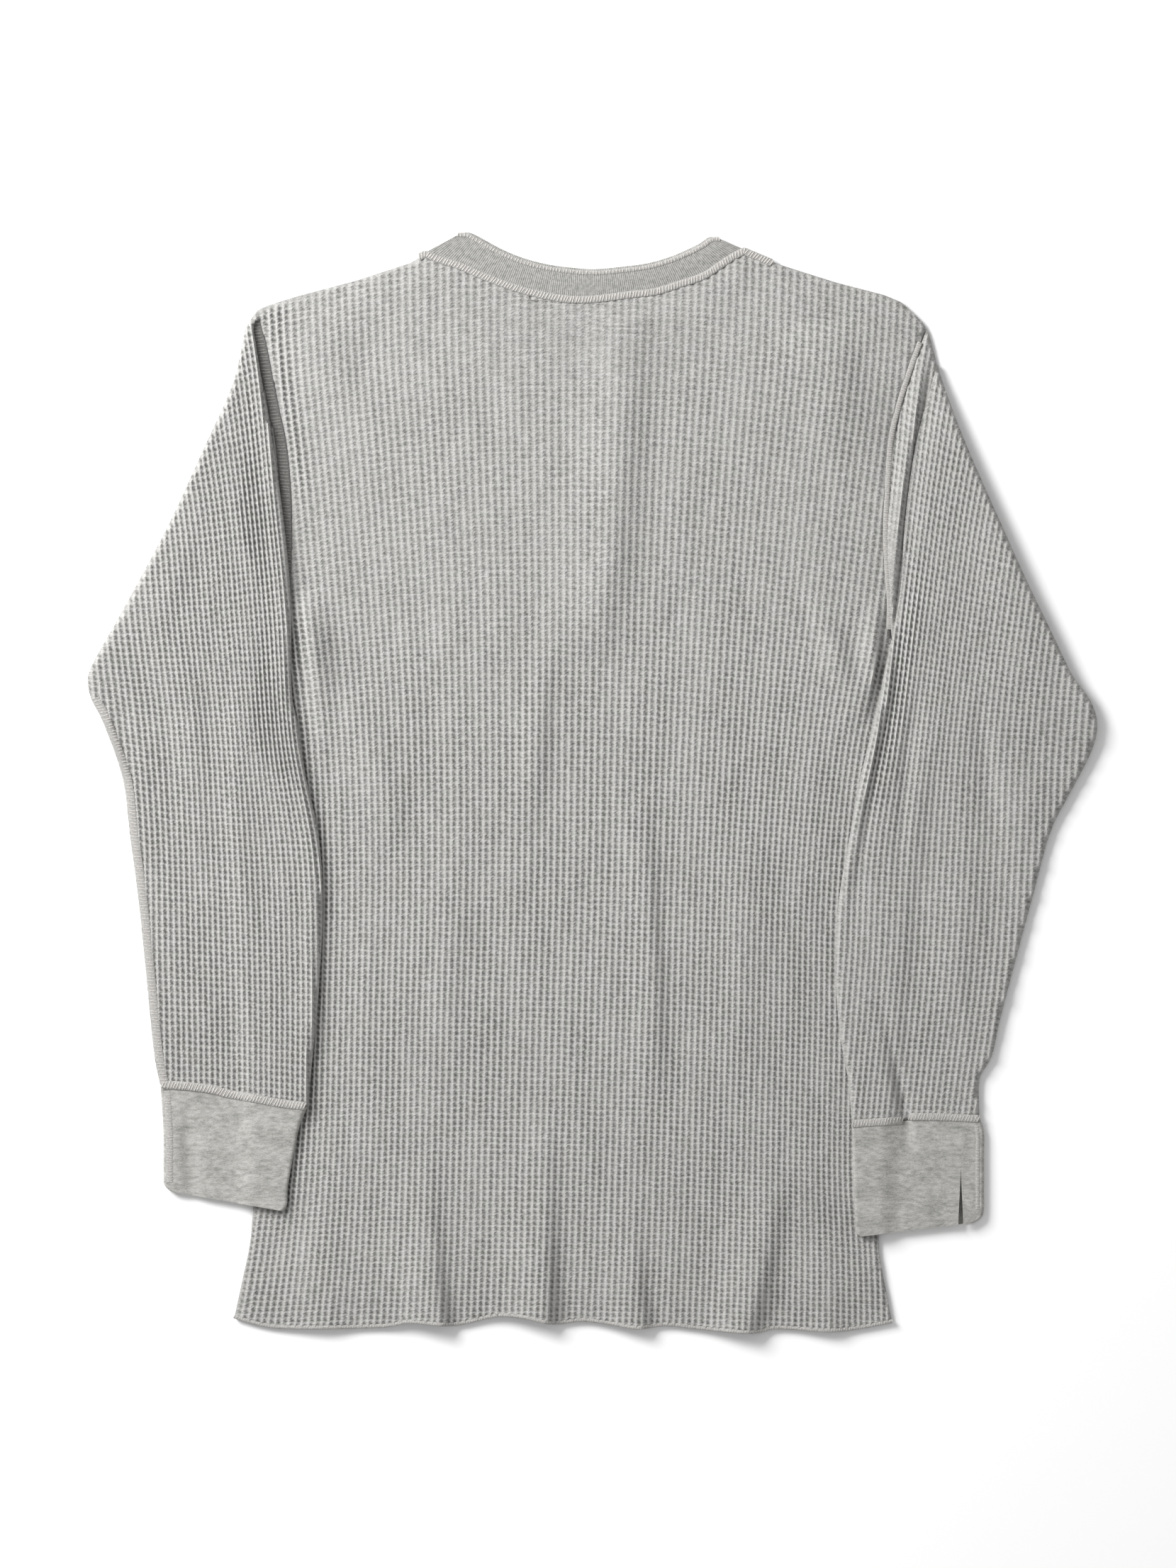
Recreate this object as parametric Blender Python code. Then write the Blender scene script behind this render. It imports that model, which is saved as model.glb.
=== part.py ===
"""A waffle-knit thermal top laid flat on a surface with its back up.

Each sleeve leaves its armhole, turns over at a fold from the shoulder to the elbow and lies back over the
side of the body, so its seam runs down the outer edge. Sizes are in millimetres: x runs across the garment
from its middle line, y up from the hem towards the neck, z up from the surface. They become metres when a
mesh is made. The origin of the finished part is the middle of its box, on the surface it lies on.
"""

import math

import bmesh
import bpy
from mathutils import Vector

MM = 0.001
COLLECTION = "thermal_top"

# Cloth
KNIT = 1.6              # thickness of the waffle knit
RIB_KNIT = 2.0          # thickness of the doubled rib of the neckband
SEAM_GAP = 0.3          # space between two pieces that are sewn together
BODY_TOP = 2 * KNIT + SEAM_GAP      # top of the back panel where it lies on the front panel
SLEEVE_OVER = BODY_TOP + 0.9        # underside of a sleeve where it lies on the body
TWO_LAYERS = 2 * KNIT + 0.4         # a flattened sleeve with its thin hollow
PUFF = 1.2              # air under the back panel
SIDE_SLOPE = 34         # distance from a sleeve over which the back panel rises to its full puff
NECK_SLOPE = 20         # the same below the neck seam and shoulders
HEM_SLOPE = 30          # the same above the hem
BELOW_CUFFS = 50        # height below which no cuff lies on the body
RIB_HEIGHT = 0.5        # how far a rib of the knit stands out
RIB_SLOPE = 8           # distance from a sleeve, which presses the ribs flat, to their full height
BACK_RIBS = 100         # ribs across the back
SLEEVE_RIBS = 28        # ribs across the upper side of a sleeve
INNER_STEP = 8          # outer columns of the back for each column of its plain inside
CUFF_COLUMNS = 12       # faces across the upper side of a cuff
BAND_STEPS = 2          # sections of the neckband for each row of its tables

# Body outline: height above the hem line, distance from the middle line
LEFT_EDGE = (
    (10, -239), (38, -233), (57, -229), (76, -227), (132, -224), (274, -230), (415, -235),
    (448, -233), (464, -221), (486, -206), (519, -202), (556, -202), (590, -205), (617, -211),
    (652, -218), (674, -225), (680, -228),
)
RIGHT_EDGE = (
    (7, 198), (23, 195), (44, 191), (64, 189), (132, 191), (274, 203), (391, 218),
    (427, 222), (441, 211), (456, 199), (471, 196), (501, 195), (532, 193), (556, 194),
    (592, 196), (616, 201), (641, 208), (664, 215), (675, 215),
)
# Heights of the rows of the back panel; those beside the armholes are the rows of the sleeves too
BACK_ROWS = (
    0, 18, 38, 58, 82, 112, 170, 240, 300, 350, 385, 406, 421, 436, 450, 471, 500, 540, 590, 630, 660, 690,
)
# Wavy hem: distance from the middle line, height
HEM = (
    (-239, 10), (-216, 4), (-187, 3), (-140, 4), (-122, 7), (-93, 5), (-65, 11), (-46, 10),
    (-27, 6), (-8, 8), (10, 6), (29, 3), (48, 5), (67, 3), (105, 0), (123, 3), (161, 1), (198, 7),
)
# Shoulders: distance from the middle line, height
LEFT_SHOULDER = ((-228, 680), (-216, 684), (-197, 689), (-159, 699), (-122, 711), (-112, 717))
RIGHT_SHOULDER = ((100, 719), (108, 716), (123, 710), (161, 698), (200, 687), (209, 682), (215, 675))
# Neckband, back stretch: seam x, seam y, free edge x, free edge y
BACK_BAND = (
    (-112, 717, -88, 731), (-102, 713, -82, 731), (-89, 709, -74, 727), (-73, 702, -61, 720),
    (-54, 695, -46, 714), (-36, 690, -30, 710), (-18, 687, -15, 708), (0, 687, 1, 707),
    (24, 690, 22, 709), (41, 692, 36, 711), (57, 697, 50, 715), (72, 702, 62, 720),
    (83, 709, 70, 724), (92, 715, 76, 728), (100, 719, 81, 728),
)
# Neckband, front stretch, which lies lower and under the back panel
FRONT_BAND = (
    (-112, 717, -88, 731), (-109, 692, -87, 702), (-100, 667, -81, 677), (-84, 646, -69, 659),
    (-60, 631, -50, 648), (-30, 623, -26, 642), (-6, 621, -6, 640), (18, 623, 14, 642),
    (48, 631, 38, 648), (72, 646, 57, 659), (88, 667, 69, 677), (97, 692, 75, 702),
    (100, 719, 81, 728),
)
# Sleeves from shoulder to cuff seam: outer x, outer y, inner x, inner y, folded, height of the top.
# The outer edge is the fold down to the elbow and then the sleeve seam; the inner edge lies over the
# body. folded is 1 where four layers lie together and 0 where two do.
LEFT_SLEEVE = (
    (-232, 668, -227, 668, 1.0, 7.5),
    (-234, 660, -225, 660, 1.0, 8.0),
    (-240, 630, -220, 630, 1.0, 9.2),
    (-258, 590, -213, 590, 1.0, 9.8),
    (-281, 540, -206, 540, 1.0, 10.0),
    (-302, 500, -202, 500, 1.0, 10.0),
    (-318, 471, -201, 471, 1.0, 10.0),
    (-330, 450, -201, 450, 0.8, 9.4),
    (-336, 436, -201, 436, 0.4, 8.4),
    (-334, 422, -200, 420, 0.0, 7.2),
    (-326, 406, -197, 406, 0.0, 6.4),
    (-313, 369, -191, 368, 0.0, 6.0),
    (-308, 330, -183, 332, 0.0, 6.0),
    (-302, 284, -180, 284, 0.0, 6.0),
    (-296, 224, -183, 224, 0.0, 6.0),
    (-292, 185, -187, 182, 0.0, 5.6),
    (-288, 165, -190, 151, 0.0, 5.0),
)
RIGHT_SLEEVE = (
    (221, 668, 217, 668, 1.0, 7.5),
    (225, 660, 219, 660, 1.0, 8.5),
    (231, 630, 221, 630, 1.0, 9.8),
    (247, 590, 214, 590, 1.0, 10.4),
    (269, 540, 208, 540, 1.0, 10.6),
    (287, 500, 205, 500, 1.0, 10.6),
    (301, 471, 202, 471, 1.0, 10.4),
    (311, 450, 199, 450, 1.0, 10.0),
    (318, 436, 196, 436, 0.9, 9.8),
    (329, 421, 193, 422, 0.7, 9.4),
    (334, 405, 189, 406, 0.4, 8.4),
    (330, 386, 183, 387, 0.0, 7.2),
    (315, 357, 176, 358, 0.0, 6.4),
    (303, 333, 170, 332, 0.0, 6.0),
    (292, 293, 163, 292, 0.0, 6.0),
    (281, 252, 160, 252, 0.0, 6.0),
    (270, 210, 162, 210, 0.0, 6.0),
    (264, 184, 166, 182, 0.0, 5.6),
    (256, 169, 169, 167, 0.0, 5.2),
    (256, 144, 171, 140, 0.0, 5.0),
)
# Cuffs below that seam, in the same columns
LEFT_CUFF = (
    (-287, 151, -195, 139, 0.0, 5.2), (-286, 132, -199, 121, 0.0, 5.4),
    (-286, 109, -203, 99, 0.0, 5.4), (-284, 95, -204, 81, 0.0, 5.0),
)
RIGHT_CUFF = (
    (259, 134, 171.5, 130, 0.0, 5.2), (259, 118, 172, 112, 0.0, 5.4),
    (259, 95, 173, 88, 0.0, 5.4), (256, 74, 174, 64, 0.0, 5.0),
)
CUFF_SLIT = {"x": 243.5, "top_y": 113, "bottom_y": 60, "width": 3.0}

# Folds that stand up in the back panel: x1, y1 and rise at one end, x2, y2 and rise at the other, half width
BACK_FOLDS = (
    (-112, 78, 0.5, -114, 6, 8.0, 15),
    (-40, 104, 0.5, -38, 8, 8.0, 15),
    (18, 52, 0.5, 21, 4, 5.5, 12),
    (97, 58, 0.5, 90, 3, 7.0, 14),
    (160, 40, 0.3, 164, 3, 3.0, 14),
    (-176, 44, 0.3, -180, 4, 3.0, 18),
    (21, 606, 1.6, 5, 486, 2.2, 11),
    (-36, 440, 1.8, -36, 372, 1.8, 10),
    (30, 322, 1.8, 36, 190, 1.8, 10),
    (-176, 425, 3.0, -140, 360, 1.0, 10),
    (150, 476, 3.0, 170, 430, 4.0, 10),
    (150, 634, 5.0, 178, 640, 6.0, 26),
    (-170, 655, 2.5, -190, 650, 2.5, 22),
)
# Folds of a sleeve's upper layer, in the same columns; a negative rise is a trough
SLEEVE_FOLDS = (
    (-266, 420, 1.2, -262, 320, 1.2, 8),
    (-316, 402, -0.8, -308, 376, -0.8, 6),
    (-268, 150, -0.8, -268, 95, -0.6, 5),
    (290, 401, 1.2, 286, 340, 1.0, 9),
    (262, 410, -0.8, 266, 310, -0.8, 8),
    (198, 193, -0.8, 207, 148, -2.0, 6),
    (240, 300, 1.0, 238, 220, 1.0, 12),
)

COLOURS = {     # base colour of each cloth, linear
    "waffle": (0.40, 0.40, 0.385),
    "jersey": (0.37, 0.37, 0.355),
    "rib": (0.42, 0.42, 0.40),
}
CLOTH_ROUGHNESS = 0.92


def mix(a, b, t):
    return a + (b - a) * t


def ease(t):
    """0 below 0, 1 above 1, smooth between."""
    t = min(1.0, max(0.0, t))
    return t * t * (3.0 - 2.0 * t)


def spline(rows, steps):
    """Rows of a table with extra rows between them, on a smooth curve through all of them."""
    result = []
    for index in range(len(rows) - 1):
        before = rows[max(index - 1, 0)]
        here, there = rows[index], rows[index + 1]
        after = rows[min(index + 2, len(rows) - 1)]
        for step in range(steps):
            t = step / steps
            result.append(tuple(
                0.5 * (2 * b + (c - a) * t + (2 * a - 5 * b + 4 * c - d) * t * t
                       + (3 * b - a - 3 * c + d) * t ** 3)
                for a, b, c, d in zip(before, here, there, after)))
    result.append(tuple(rows[-1]))
    return result


def look_up(table, key):
    """Second column of a table whose first column rises, straight between its rows."""
    if key <= table[0][0]:
        return table[0][1]
    for low, high in zip(table, table[1:]):
        if key <= high[0]:
            return mix(low[1], high[1], (key - low[0]) / (high[0] - low[0]))
    return table[-1][1]


LEFT_CURVE = spline(LEFT_EDGE, 4)
RIGHT_CURVE = spline(RIGHT_EDGE, 4)
HEM_CURVE = spline(HEM, 4)
BACK_TOP_CURVE = (list(LEFT_SHOULDER) + [row[:2] for row in spline(BACK_BAND, 4)[1:-1]]
                  + list(RIGHT_SHOULDER))


def side_of(x_sign, y):
    """Edge of the body panels, and so the armhole, at a height."""
    return look_up(LEFT_CURVE if x_sign < 0 else RIGHT_CURVE, y)


def fold_rise(folds, x, y):
    """Height that the folds of a table add at a point."""
    total = 0.0
    for x1, y1, rise1, x2, y2, rise2, half_width in folds:
        along = Vector((x2 - x1, y2 - y1))
        t = (Vector((x - x1, y - y1)).dot(along)) / along.length_squared
        t = min(1.0, max(0.0, t))
        off = (Vector((x, y)) - Vector((x1, y1)) - along * t).length / half_width
        total += mix(rise1, rise2, t) * math.exp(-off * off)
    return total


def inner_edge(table, y):
    """Inner edge of a sleeve and its cuff at a height, for what lies under it."""
    return look_up(sorted((row[3], row[2]) for row in table), y)


def side_room(x, y):
    """Distance from a point of the back to the nearest sleeve or cuff; below them, to the side."""
    if y < BELOW_CUFFS:
        return min(x - side_of(-1, y), side_of(1, y) - x)
    return min(x - inner_edge(LEFT_SLEEVE + LEFT_CUFF, y),
               inner_edge(RIGHT_SLEEVE + RIGHT_CUFF, y) - x)


def back_lift(x, y):
    """How far the back panel stands above where it would lie flat."""
    side_share = ease(side_room(x, y) / SIDE_SLOPE)
    top_share = ease((look_up(BACK_TOP_CURVE, x) - y) / NECK_SLOPE)
    puff = PUFF * ease((y - 4) / HEM_SLOPE)
    return max(0.0, (puff + fold_rise(BACK_FOLDS, x, y)) * side_share * top_share)


def clear_scene():
    for item in list(bpy.data.objects):
        bpy.data.objects.remove(item, do_unlink=True)


def cloth_material(name, cloth):
    material = bpy.data.materials.new(name)
    material.use_nodes = True
    shader = material.node_tree.nodes["Principled BSDF"]
    shader.inputs["Base Color"].default_value = (*COLOURS[cloth], 1.0)
    shader.inputs["Roughness"].default_value = CLOTH_ROUGHNESS
    shader.inputs["Metallic"].default_value = 0.0
    return material


def finish(name, mesh_data, cloth, collection):
    """Turn a bmesh in millimetres into a named object in metres."""
    bmesh.ops.recalc_face_normals(mesh_data, faces=mesh_data.faces)
    bmesh.ops.scale(mesh_data, vec=(MM, MM, MM), verts=mesh_data.verts)
    mesh = bpy.data.meshes.new(name)
    mesh_data.to_mesh(mesh)
    mesh_data.free()
    mesh.shade_smooth()
    mesh.set_sharp_from_angle(angle=math.radians(50))
    thing = bpy.data.objects.new(name, mesh)
    mesh.materials.append(cloth_material(name + "_cloth", cloth))
    collection.objects.link(thing)
    return thing


def strip(mesh_data, first, second, step):
    """Faces between a fine run of points and a coarse one with every step-th column."""
    for index in range(len(second) - 1):
        fine = first[index * step:(index + 1) * step + 1]
        mesh_data.faces.new(fine + [second[index + 1], second[index]])


def grid(mesh_data, rows):
    for lower, upper in zip(rows, rows[1:]):
        for index in range(len(lower) - 1):
            mesh_data.faces.new((lower[index], lower[index + 1], upper[index + 1], upper[index]))


def panel_points(top_points, columns):
    """Rows of points of the back panel, from hem to neck.

    Everything between its four edges follows from them, so the columns fan as the ribs of the cloth do.
    """
    rows = []
    for level in BACK_ROWS:
        left_y = min(max(level, LEFT_EDGE[0][0]), LEFT_EDGE[-1][0])
        right_y = min(max(level, RIGHT_EDGE[0][0]), RIGHT_EDGE[-1][0])
        left = (side_of(-1, left_y), left_y)
        right = (side_of(1, right_y), right_y)
        v = (level - BACK_ROWS[0]) / (BACK_ROWS[-1] - BACK_ROWS[0])
        row = []
        for column in range(columns + 1):
            u = column / columns
            hem_x = mix(HEM[0][0], HEM[-1][0], u)
            hem = (hem_x, look_up(HEM_CURVE, hem_x))
            corners = [mix(mix(HEM[0][axis], HEM[-1][axis], u),
                           mix(top_points[0][axis], top_points[-1][axis], u), v) for axis in (0, 1)]
            row.append([mix(hem[axis], top_points[column][axis], v)
                        + mix(left[axis], right[axis], u) - corners[axis] for axis in (0, 1)])
        rows.append(row)
    return rows


def back_panel(collection):
    """The back: an outer grid, which carries ribs, over a plain inside, closed round its edge."""
    columns = 2 * BACK_RIBS
    top_points = []
    for column in range(columns + 1):
        x = mix(LEFT_SHOULDER[0][0], RIGHT_SHOULDER[-1][0], column / columns)
        top_points.append((x, look_up(BACK_TOP_CURVE, x)))
    mesh_data = bmesh.new()
    outer, inner = [], []
    for level, row in enumerate(panel_points(top_points, columns)):
        outer_row, inner_row = [], []
        for column, (x, y) in enumerate(row):
            z = BODY_TOP + back_lift(x, y)
            on_rib = column % 2 == 1 and 0 < level < len(BACK_ROWS) - 1
            crest = on_rib * RIB_HEIGHT * ease(side_room(x, y) / RIB_SLOPE)
            outer_row.append(mesh_data.verts.new((x, y, z + crest)))
            if column % INNER_STEP == 0:
                inner_row.append(mesh_data.verts.new((x, y, z - KNIT)))
        outer.append(outer_row)
        inner.append(inner_row)
    grid(mesh_data, outer)
    grid(mesh_data, inner)
    strip(mesh_data, outer[0], inner[0], INNER_STEP)
    strip(mesh_data, outer[-1], inner[-1], INNER_STEP)
    grid(mesh_data, [[row[0] for row in outer], [row[0] for row in inner]])
    grid(mesh_data, [[row[-1] for row in outer], [row[-1] for row in inner]])
    return finish("back_panel", mesh_data, "waffle", collection)


def front_panel(collection):
    """The front lies flat, and its neckline dips well below that of the back."""
    neck = []
    for seam_x, seam_y, edge_x, edge_y in spline(FRONT_BAND, BAND_STEPS):
        away = Vector((seam_x - edge_x, seam_y - edge_y)).normalized() * SEAM_GAP
        neck.append((seam_x + away.x, seam_y + away.y))
    left = [(side_of(-1, y), y) for y in BACK_ROWS if LEFT_EDGE[0][0] < y < LEFT_EDGE[-1][0]]
    right = [(side_of(1, y), y) for y in BACK_ROWS if RIGHT_EDGE[0][0] < y < RIGHT_EDGE[-1][0]]
    outline = (list(HEM) + right + list(reversed(RIGHT_SHOULDER[1:])) + list(reversed(neck))
               + list(reversed(LEFT_SHOULDER[:-1])) + list(reversed(left)))
    mesh_data = bmesh.new()
    sheet = mesh_data.faces.new([mesh_data.verts.new((x, y, 0.0)) for x, y in outline])
    raised = bmesh.ops.extrude_face_region(mesh_data, geom=[sheet])["geom"]
    bmesh.ops.translate(mesh_data, vec=(0.0, 0.0, KNIT),
                        verts=[item for item in raised if isinstance(item, bmesh.types.BMVert)])
    return finish("front_panel", mesh_data, "waffle", collection)


def neckband(name, table, underside, seam_shift, thicknesses, collection):
    """A doubled strip of rib. Its thicknesses are those at the free edge, halfway and at the seam."""
    edge_thick, half_thick, seam_thick = thicknesses
    mesh_data = bmesh.new()
    rings = []
    for seam_x, seam_y, edge_x, edge_y in spline(table, BAND_STEPS):
        seam = Vector((seam_x, seam_y + seam_shift))
        edge = Vector((edge_x, edge_y))
        inside = edge + (seam - edge).normalized() * 0.5
        section = (
            (seam, 0.0), (inside, 0.0), (edge, edge_thick / 2),
            (inside, edge_thick), (seam.lerp(edge, 0.5), half_thick), (seam, seam_thick),
        )
        rings.append([mesh_data.verts.new((point.x, point.y, underside + z)) for point, z in section])
    grid(mesh_data, [ring + ring[:1] for ring in rings])
    mesh_data.faces.new(rings[0])
    mesh_data.faces.new(rings[-1])
    return finish(name, mesh_data, "rib", collection)


def sleeve_section(row, side, columns, ribs):
    """Outer and inner outline of a flattened sleeve at one row of its table.

    The outer outline runs along the surface from the outer edge, up the end of the hidden lower
    layers, into the slot between them and the layers that were turned over, along the underside of
    those to the inner edge, and back along the top, where ribs is 1 if its odd columns stand out.
    The inner outline is the hollow of the sleeve.
    """
    outer_x, outer_y, inner_x, inner_y, folded, height = row
    width = abs(inner_x - outer_x)
    inward = -side

    def place(x, z):
        return (x, mix(outer_y, inner_y, (x - outer_x) / (inner_x - outer_x)), z)

    def reach(distance):
        return outer_x + inward * distance

    body_edge = side_of(side, mix(outer_y, inner_y, 0.7))
    seam_end = abs(body_edge - outer_x) - 3 * SEAM_GAP
    ramp = 7.0
    lower_end = mix(seam_end - ramp, seam_end, folded)
    lower_top = mix(0.3, BODY_TOP, folded)
    slot = min(lower_end, width) - mix(0.8, min(8.0, 0.35 * width), folded)
    slot_z = mix(0.45, BODY_TOP + 0.2, folded)

    def underside(distance):
        over = ease((distance - lower_end) / (0.85 * ramp))
        return mix(mix(0.6, SLEEVE_OVER, over), SLEEVE_OVER, folded)

    def top(distance):
        t = distance / width
        on_surface = mix(height, SLEEVE_OVER + TWO_LAYERS, ease((distance - seam_end + 14) / 14))
        tall = mix(on_surface, mix(height, SLEEVE_OVER + TWO_LAYERS, t), folded)
        y = mix(outer_y, inner_y, t)
        share = ease(t * 6) * ease((1 - t) * 6)
        return tall + share * fold_rise(SLEEVE_FOLDS, reach(distance), y)

    edge_round = min(2.2, 0.25 * width)
    outer = []
    bottom_count, under_count = 8, 4
    for index in range(bottom_count + 1):
        outer.append(place(reach(mix(edge_round, lower_end, index / bottom_count)), 0.0))
    outer.append(place(reach(lower_end), lower_top))
    outer.append(place(reach(slot), slot_z))
    first = max(slot + 0.3, min(lower_end, width - edge_round) - 4.0)
    first = mix(lower_end, first, folded)
    last = width - edge_round
    climb = [min(first + share * ramp, mix(first, last, share / 2)) for share in (0.0, 0.45, 0.9)]
    under = climb + [mix(climb[-1], last, (index + 1) / under_count) for index in range(under_count)]
    for distance in under:
        outer.append(place(reach(distance), underside(distance)))
    end_low = underside(width)
    end_high = top(width - edge_round)
    outer.append(place(inner_x, mix(end_low, end_high, 0.3)))
    outer.append(place(inner_x, mix(end_low, end_high, 0.7)))
    crest = ribs * RIB_HEIGHT * ease((width - 20) / 60)
    for index in range(columns + 1):
        distance = mix(width - edge_round, edge_round, index / columns)
        outer.append(place(reach(distance), top(distance) + crest * (index % 2)))
    edge_high = top(edge_round)
    outer.append(place(reach(0.15 * edge_round), edge_high * 0.75))
    outer.append(place(outer_x, edge_high * 0.5))
    outer.append(place(reach(0.15 * edge_round), edge_high * 0.25))

    hollow = []
    hollow_count = 8
    start = edge_round + min(KNIT, 0.12 * width)
    stop = width - edge_round - min(KNIT, 0.12 * width)
    early = 0.4 * (stop - start) / hollow_count     # the floor climbs earlier than the underside below it
    for index in range(hollow_count + 1):
        distance = mix(start, stop, index / hollow_count)
        roof = top(distance) - KNIT
        low_share = 1.0 - ease((distance + early - lower_end) / 3)
        floor = mix(underside(distance + early) - 0.6 * low_share + KNIT, roof - 0.4, folded)
        hollow.append((place(reach(distance), min(floor, roof - 0.3)), place(reach(distance), roof)))
    inner = [pair[0] for pair in hollow] + [pair[1] for pair in reversed(hollow)]
    return outer, inner


def tube(name, table, side, columns, blind, cloth, collection):
    """A flattened tube through the rows of a table; blind, as on a sleeve, closes its first end."""
    mesh_data = bmesh.new()
    outer_rings, inner_rings = [], []
    for number, row in enumerate(table):
        ribs = blind and 0 < number < len(table) - 1
        outer, inner = sleeve_section(row, side, columns, ribs)
        outer_rings.append([mesh_data.verts.new(point) for point in outer])
        inner_rings.append([mesh_data.verts.new(point) for point in inner])
    if blind:
        for verts in inner_rings[:2]:
            bmesh.ops.delete(mesh_data, geom=verts, context="VERTS")
        inner_rings = inner_rings[2:]
    grid(mesh_data, [ring + ring[:1] for ring in outer_rings])
    grid(mesh_data, [ring + ring[:1] for ring in inner_rings])
    half = len(inner_rings[0]) // 2
    top_start = len(outer_rings[0]) - 3 - (columns + 1)
    for end in ((-1,) if blind else (0, -1)):
        outer, inner = outer_rings[end], inner_rings[end]
        inner_end, outer_end = top_start - 2, len(outer) - 2
        mesh_data.faces.new(outer[inner_end:outer_end + 1] + inner[:1] + list(reversed(inner[half:])))
        mesh_data.faces.new(outer[outer_end:] + outer[:inner_end + 1]
                            + [inner[half]] + list(reversed(inner[:half])))
    if blind:
        mesh_data.faces.new(outer_rings[0])
        mesh_data.faces.new(inner_rings[0])
    return finish(name, mesh_data, cloth, collection)


def sleeve(name, table, side, collection):
    return tube(name, table, side, 2 * SLEEVE_RIBS, True, "waffle", collection)


def cuff(name, sleeve_table, table, side, collection):
    last = sleeve_table[-1]
    first = (last[0], last[1] - SEAM_GAP, last[2], last[3] - SEAM_GAP, last[4], last[5])
    return tube(name, (first,) + table, side, CUFF_COLUMNS, False, "jersey", collection)


def cut_slit(cuff_object, cutters):
    """The short open slit in the upper layer of the right cuff, widest at its free end."""
    mesh_data = bmesh.new()
    bmesh.ops.create_cube(mesh_data, size=1.0)
    length = CUFF_SLIT["top_y"] - CUFF_SLIT["bottom_y"]
    middle_y = (CUFF_SLIT["top_y"] + CUFF_SLIT["bottom_y"]) / 2
    low, high = 3.0, 12.0
    for vert in mesh_data.verts:
        taper = 1.0 if vert.co.y < 0 else 0.2
        vert.co = Vector((CUFF_SLIT["x"] + vert.co.x * CUFF_SLIT["width"] * taper,
                          middle_y + vert.co.y * length,
                          mix(low, high, vert.co.z + 0.5)))
    cutter = finish("slit_cutter", mesh_data, "jersey", cutters)
    cutter.hide_render = True
    cutter.display_type = "WIRE"
    cut = cuff_object.modifiers.new("slit", "BOOLEAN")
    cut.operation = "DIFFERENCE"
    cut.solver = "MANIFOLD"
    cut.object = cutter


def centre_on_origin(things):
    """Move every mesh so that the middle of the part's box stands on the origin."""
    corners = [vert.co for thing in things for vert in thing.data.vertices]
    middle_x = (min(c.x for c in corners) + max(c.x for c in corners)) / 2
    middle_y = (min(c.y for c in corners) + max(c.y for c in corners)) / 2
    for thing in bpy.data.objects:
        for vert in thing.data.vertices:
            vert.co.x -= middle_x
            vert.co.y -= middle_y
        thing.data.update()


def main():
    clear_scene()
    garment = bpy.data.collections.new(COLLECTION)
    cutters = bpy.data.collections.new("cutters")
    for collection in (garment, cutters):
        bpy.context.scene.collection.children.link(collection)
    pieces = [
        front_panel(garment),
        back_panel(garment),
        neckband("neckband_front", FRONT_BAND, 0.0, 0.0, (KNIT, KNIT, KNIT), garment),
        neckband("neckband_back", BACK_BAND, KNIT + SEAM_GAP + 0.1, 3 * SEAM_GAP,
                 (RIB_KNIT, RIB_KNIT * 1.25, RIB_KNIT * 0.85), garment),
        sleeve("sleeve_left", LEFT_SLEEVE, -1, garment),
        sleeve("sleeve_right", RIGHT_SLEEVE, 1, garment),
        cuff("cuff_left", LEFT_SLEEVE, LEFT_CUFF, -1, garment),
        cuff("cuff_right", RIGHT_SLEEVE, RIGHT_CUFF, 1, garment),
    ]
    cut_slit(pieces[-1], cutters)
    centre_on_origin(pieces)


main()
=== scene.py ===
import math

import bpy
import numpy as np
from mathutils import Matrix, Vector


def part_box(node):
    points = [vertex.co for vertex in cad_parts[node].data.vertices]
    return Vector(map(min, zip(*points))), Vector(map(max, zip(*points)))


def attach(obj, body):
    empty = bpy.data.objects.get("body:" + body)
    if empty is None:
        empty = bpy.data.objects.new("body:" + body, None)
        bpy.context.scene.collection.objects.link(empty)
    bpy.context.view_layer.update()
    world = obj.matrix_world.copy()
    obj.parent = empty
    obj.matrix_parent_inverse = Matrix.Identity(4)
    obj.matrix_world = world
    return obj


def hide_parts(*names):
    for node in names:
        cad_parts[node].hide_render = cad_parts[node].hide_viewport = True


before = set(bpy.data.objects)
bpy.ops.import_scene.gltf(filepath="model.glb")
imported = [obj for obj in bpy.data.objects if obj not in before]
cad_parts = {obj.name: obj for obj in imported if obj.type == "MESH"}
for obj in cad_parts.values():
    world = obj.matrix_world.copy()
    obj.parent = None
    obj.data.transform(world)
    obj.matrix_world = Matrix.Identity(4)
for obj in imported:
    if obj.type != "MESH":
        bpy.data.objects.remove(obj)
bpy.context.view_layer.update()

# %% [markdown]
# # A waffle-knit thermal top, laid flat with its back up
#
# The top is sewn from two body panels, two sleeves, two cuffs and a neckband. The plain solids of those
# pieces are already in the scene. Each of them is replaced here by cloth with its knit, its rounded folds
# and its sewing, in the same place. All sizes are in millimetres of the garment: x runs across it from its
# middle line, y up from the hem, z up from the surface it lies on.

MM = 0.001
LEFTMOST = -239                         # x of the back's leftmost point, in garment millimetres
back_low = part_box("back_panel")[0]
ORIGIN_X = LEFTMOST - back_low.x / MM   # the middle of the whole top, in garment millimetres
ORIGIN_Y = -back_low.y / MM
print("middle of the top at x %.1f, y %.1f mm" % (ORIGIN_X, ORIGIN_Y))

# %% [markdown]
# ## Sizes of the cloth
#
# A waffle knit is thick for its weight: 1.6 mm, and more over its ribs. Where two layers lie together the
# upper one starts above the lower one, and the sleeves lie over the body's sides, so heights are worked out
# from the thickness of the cloth and never typed twice.

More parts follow.
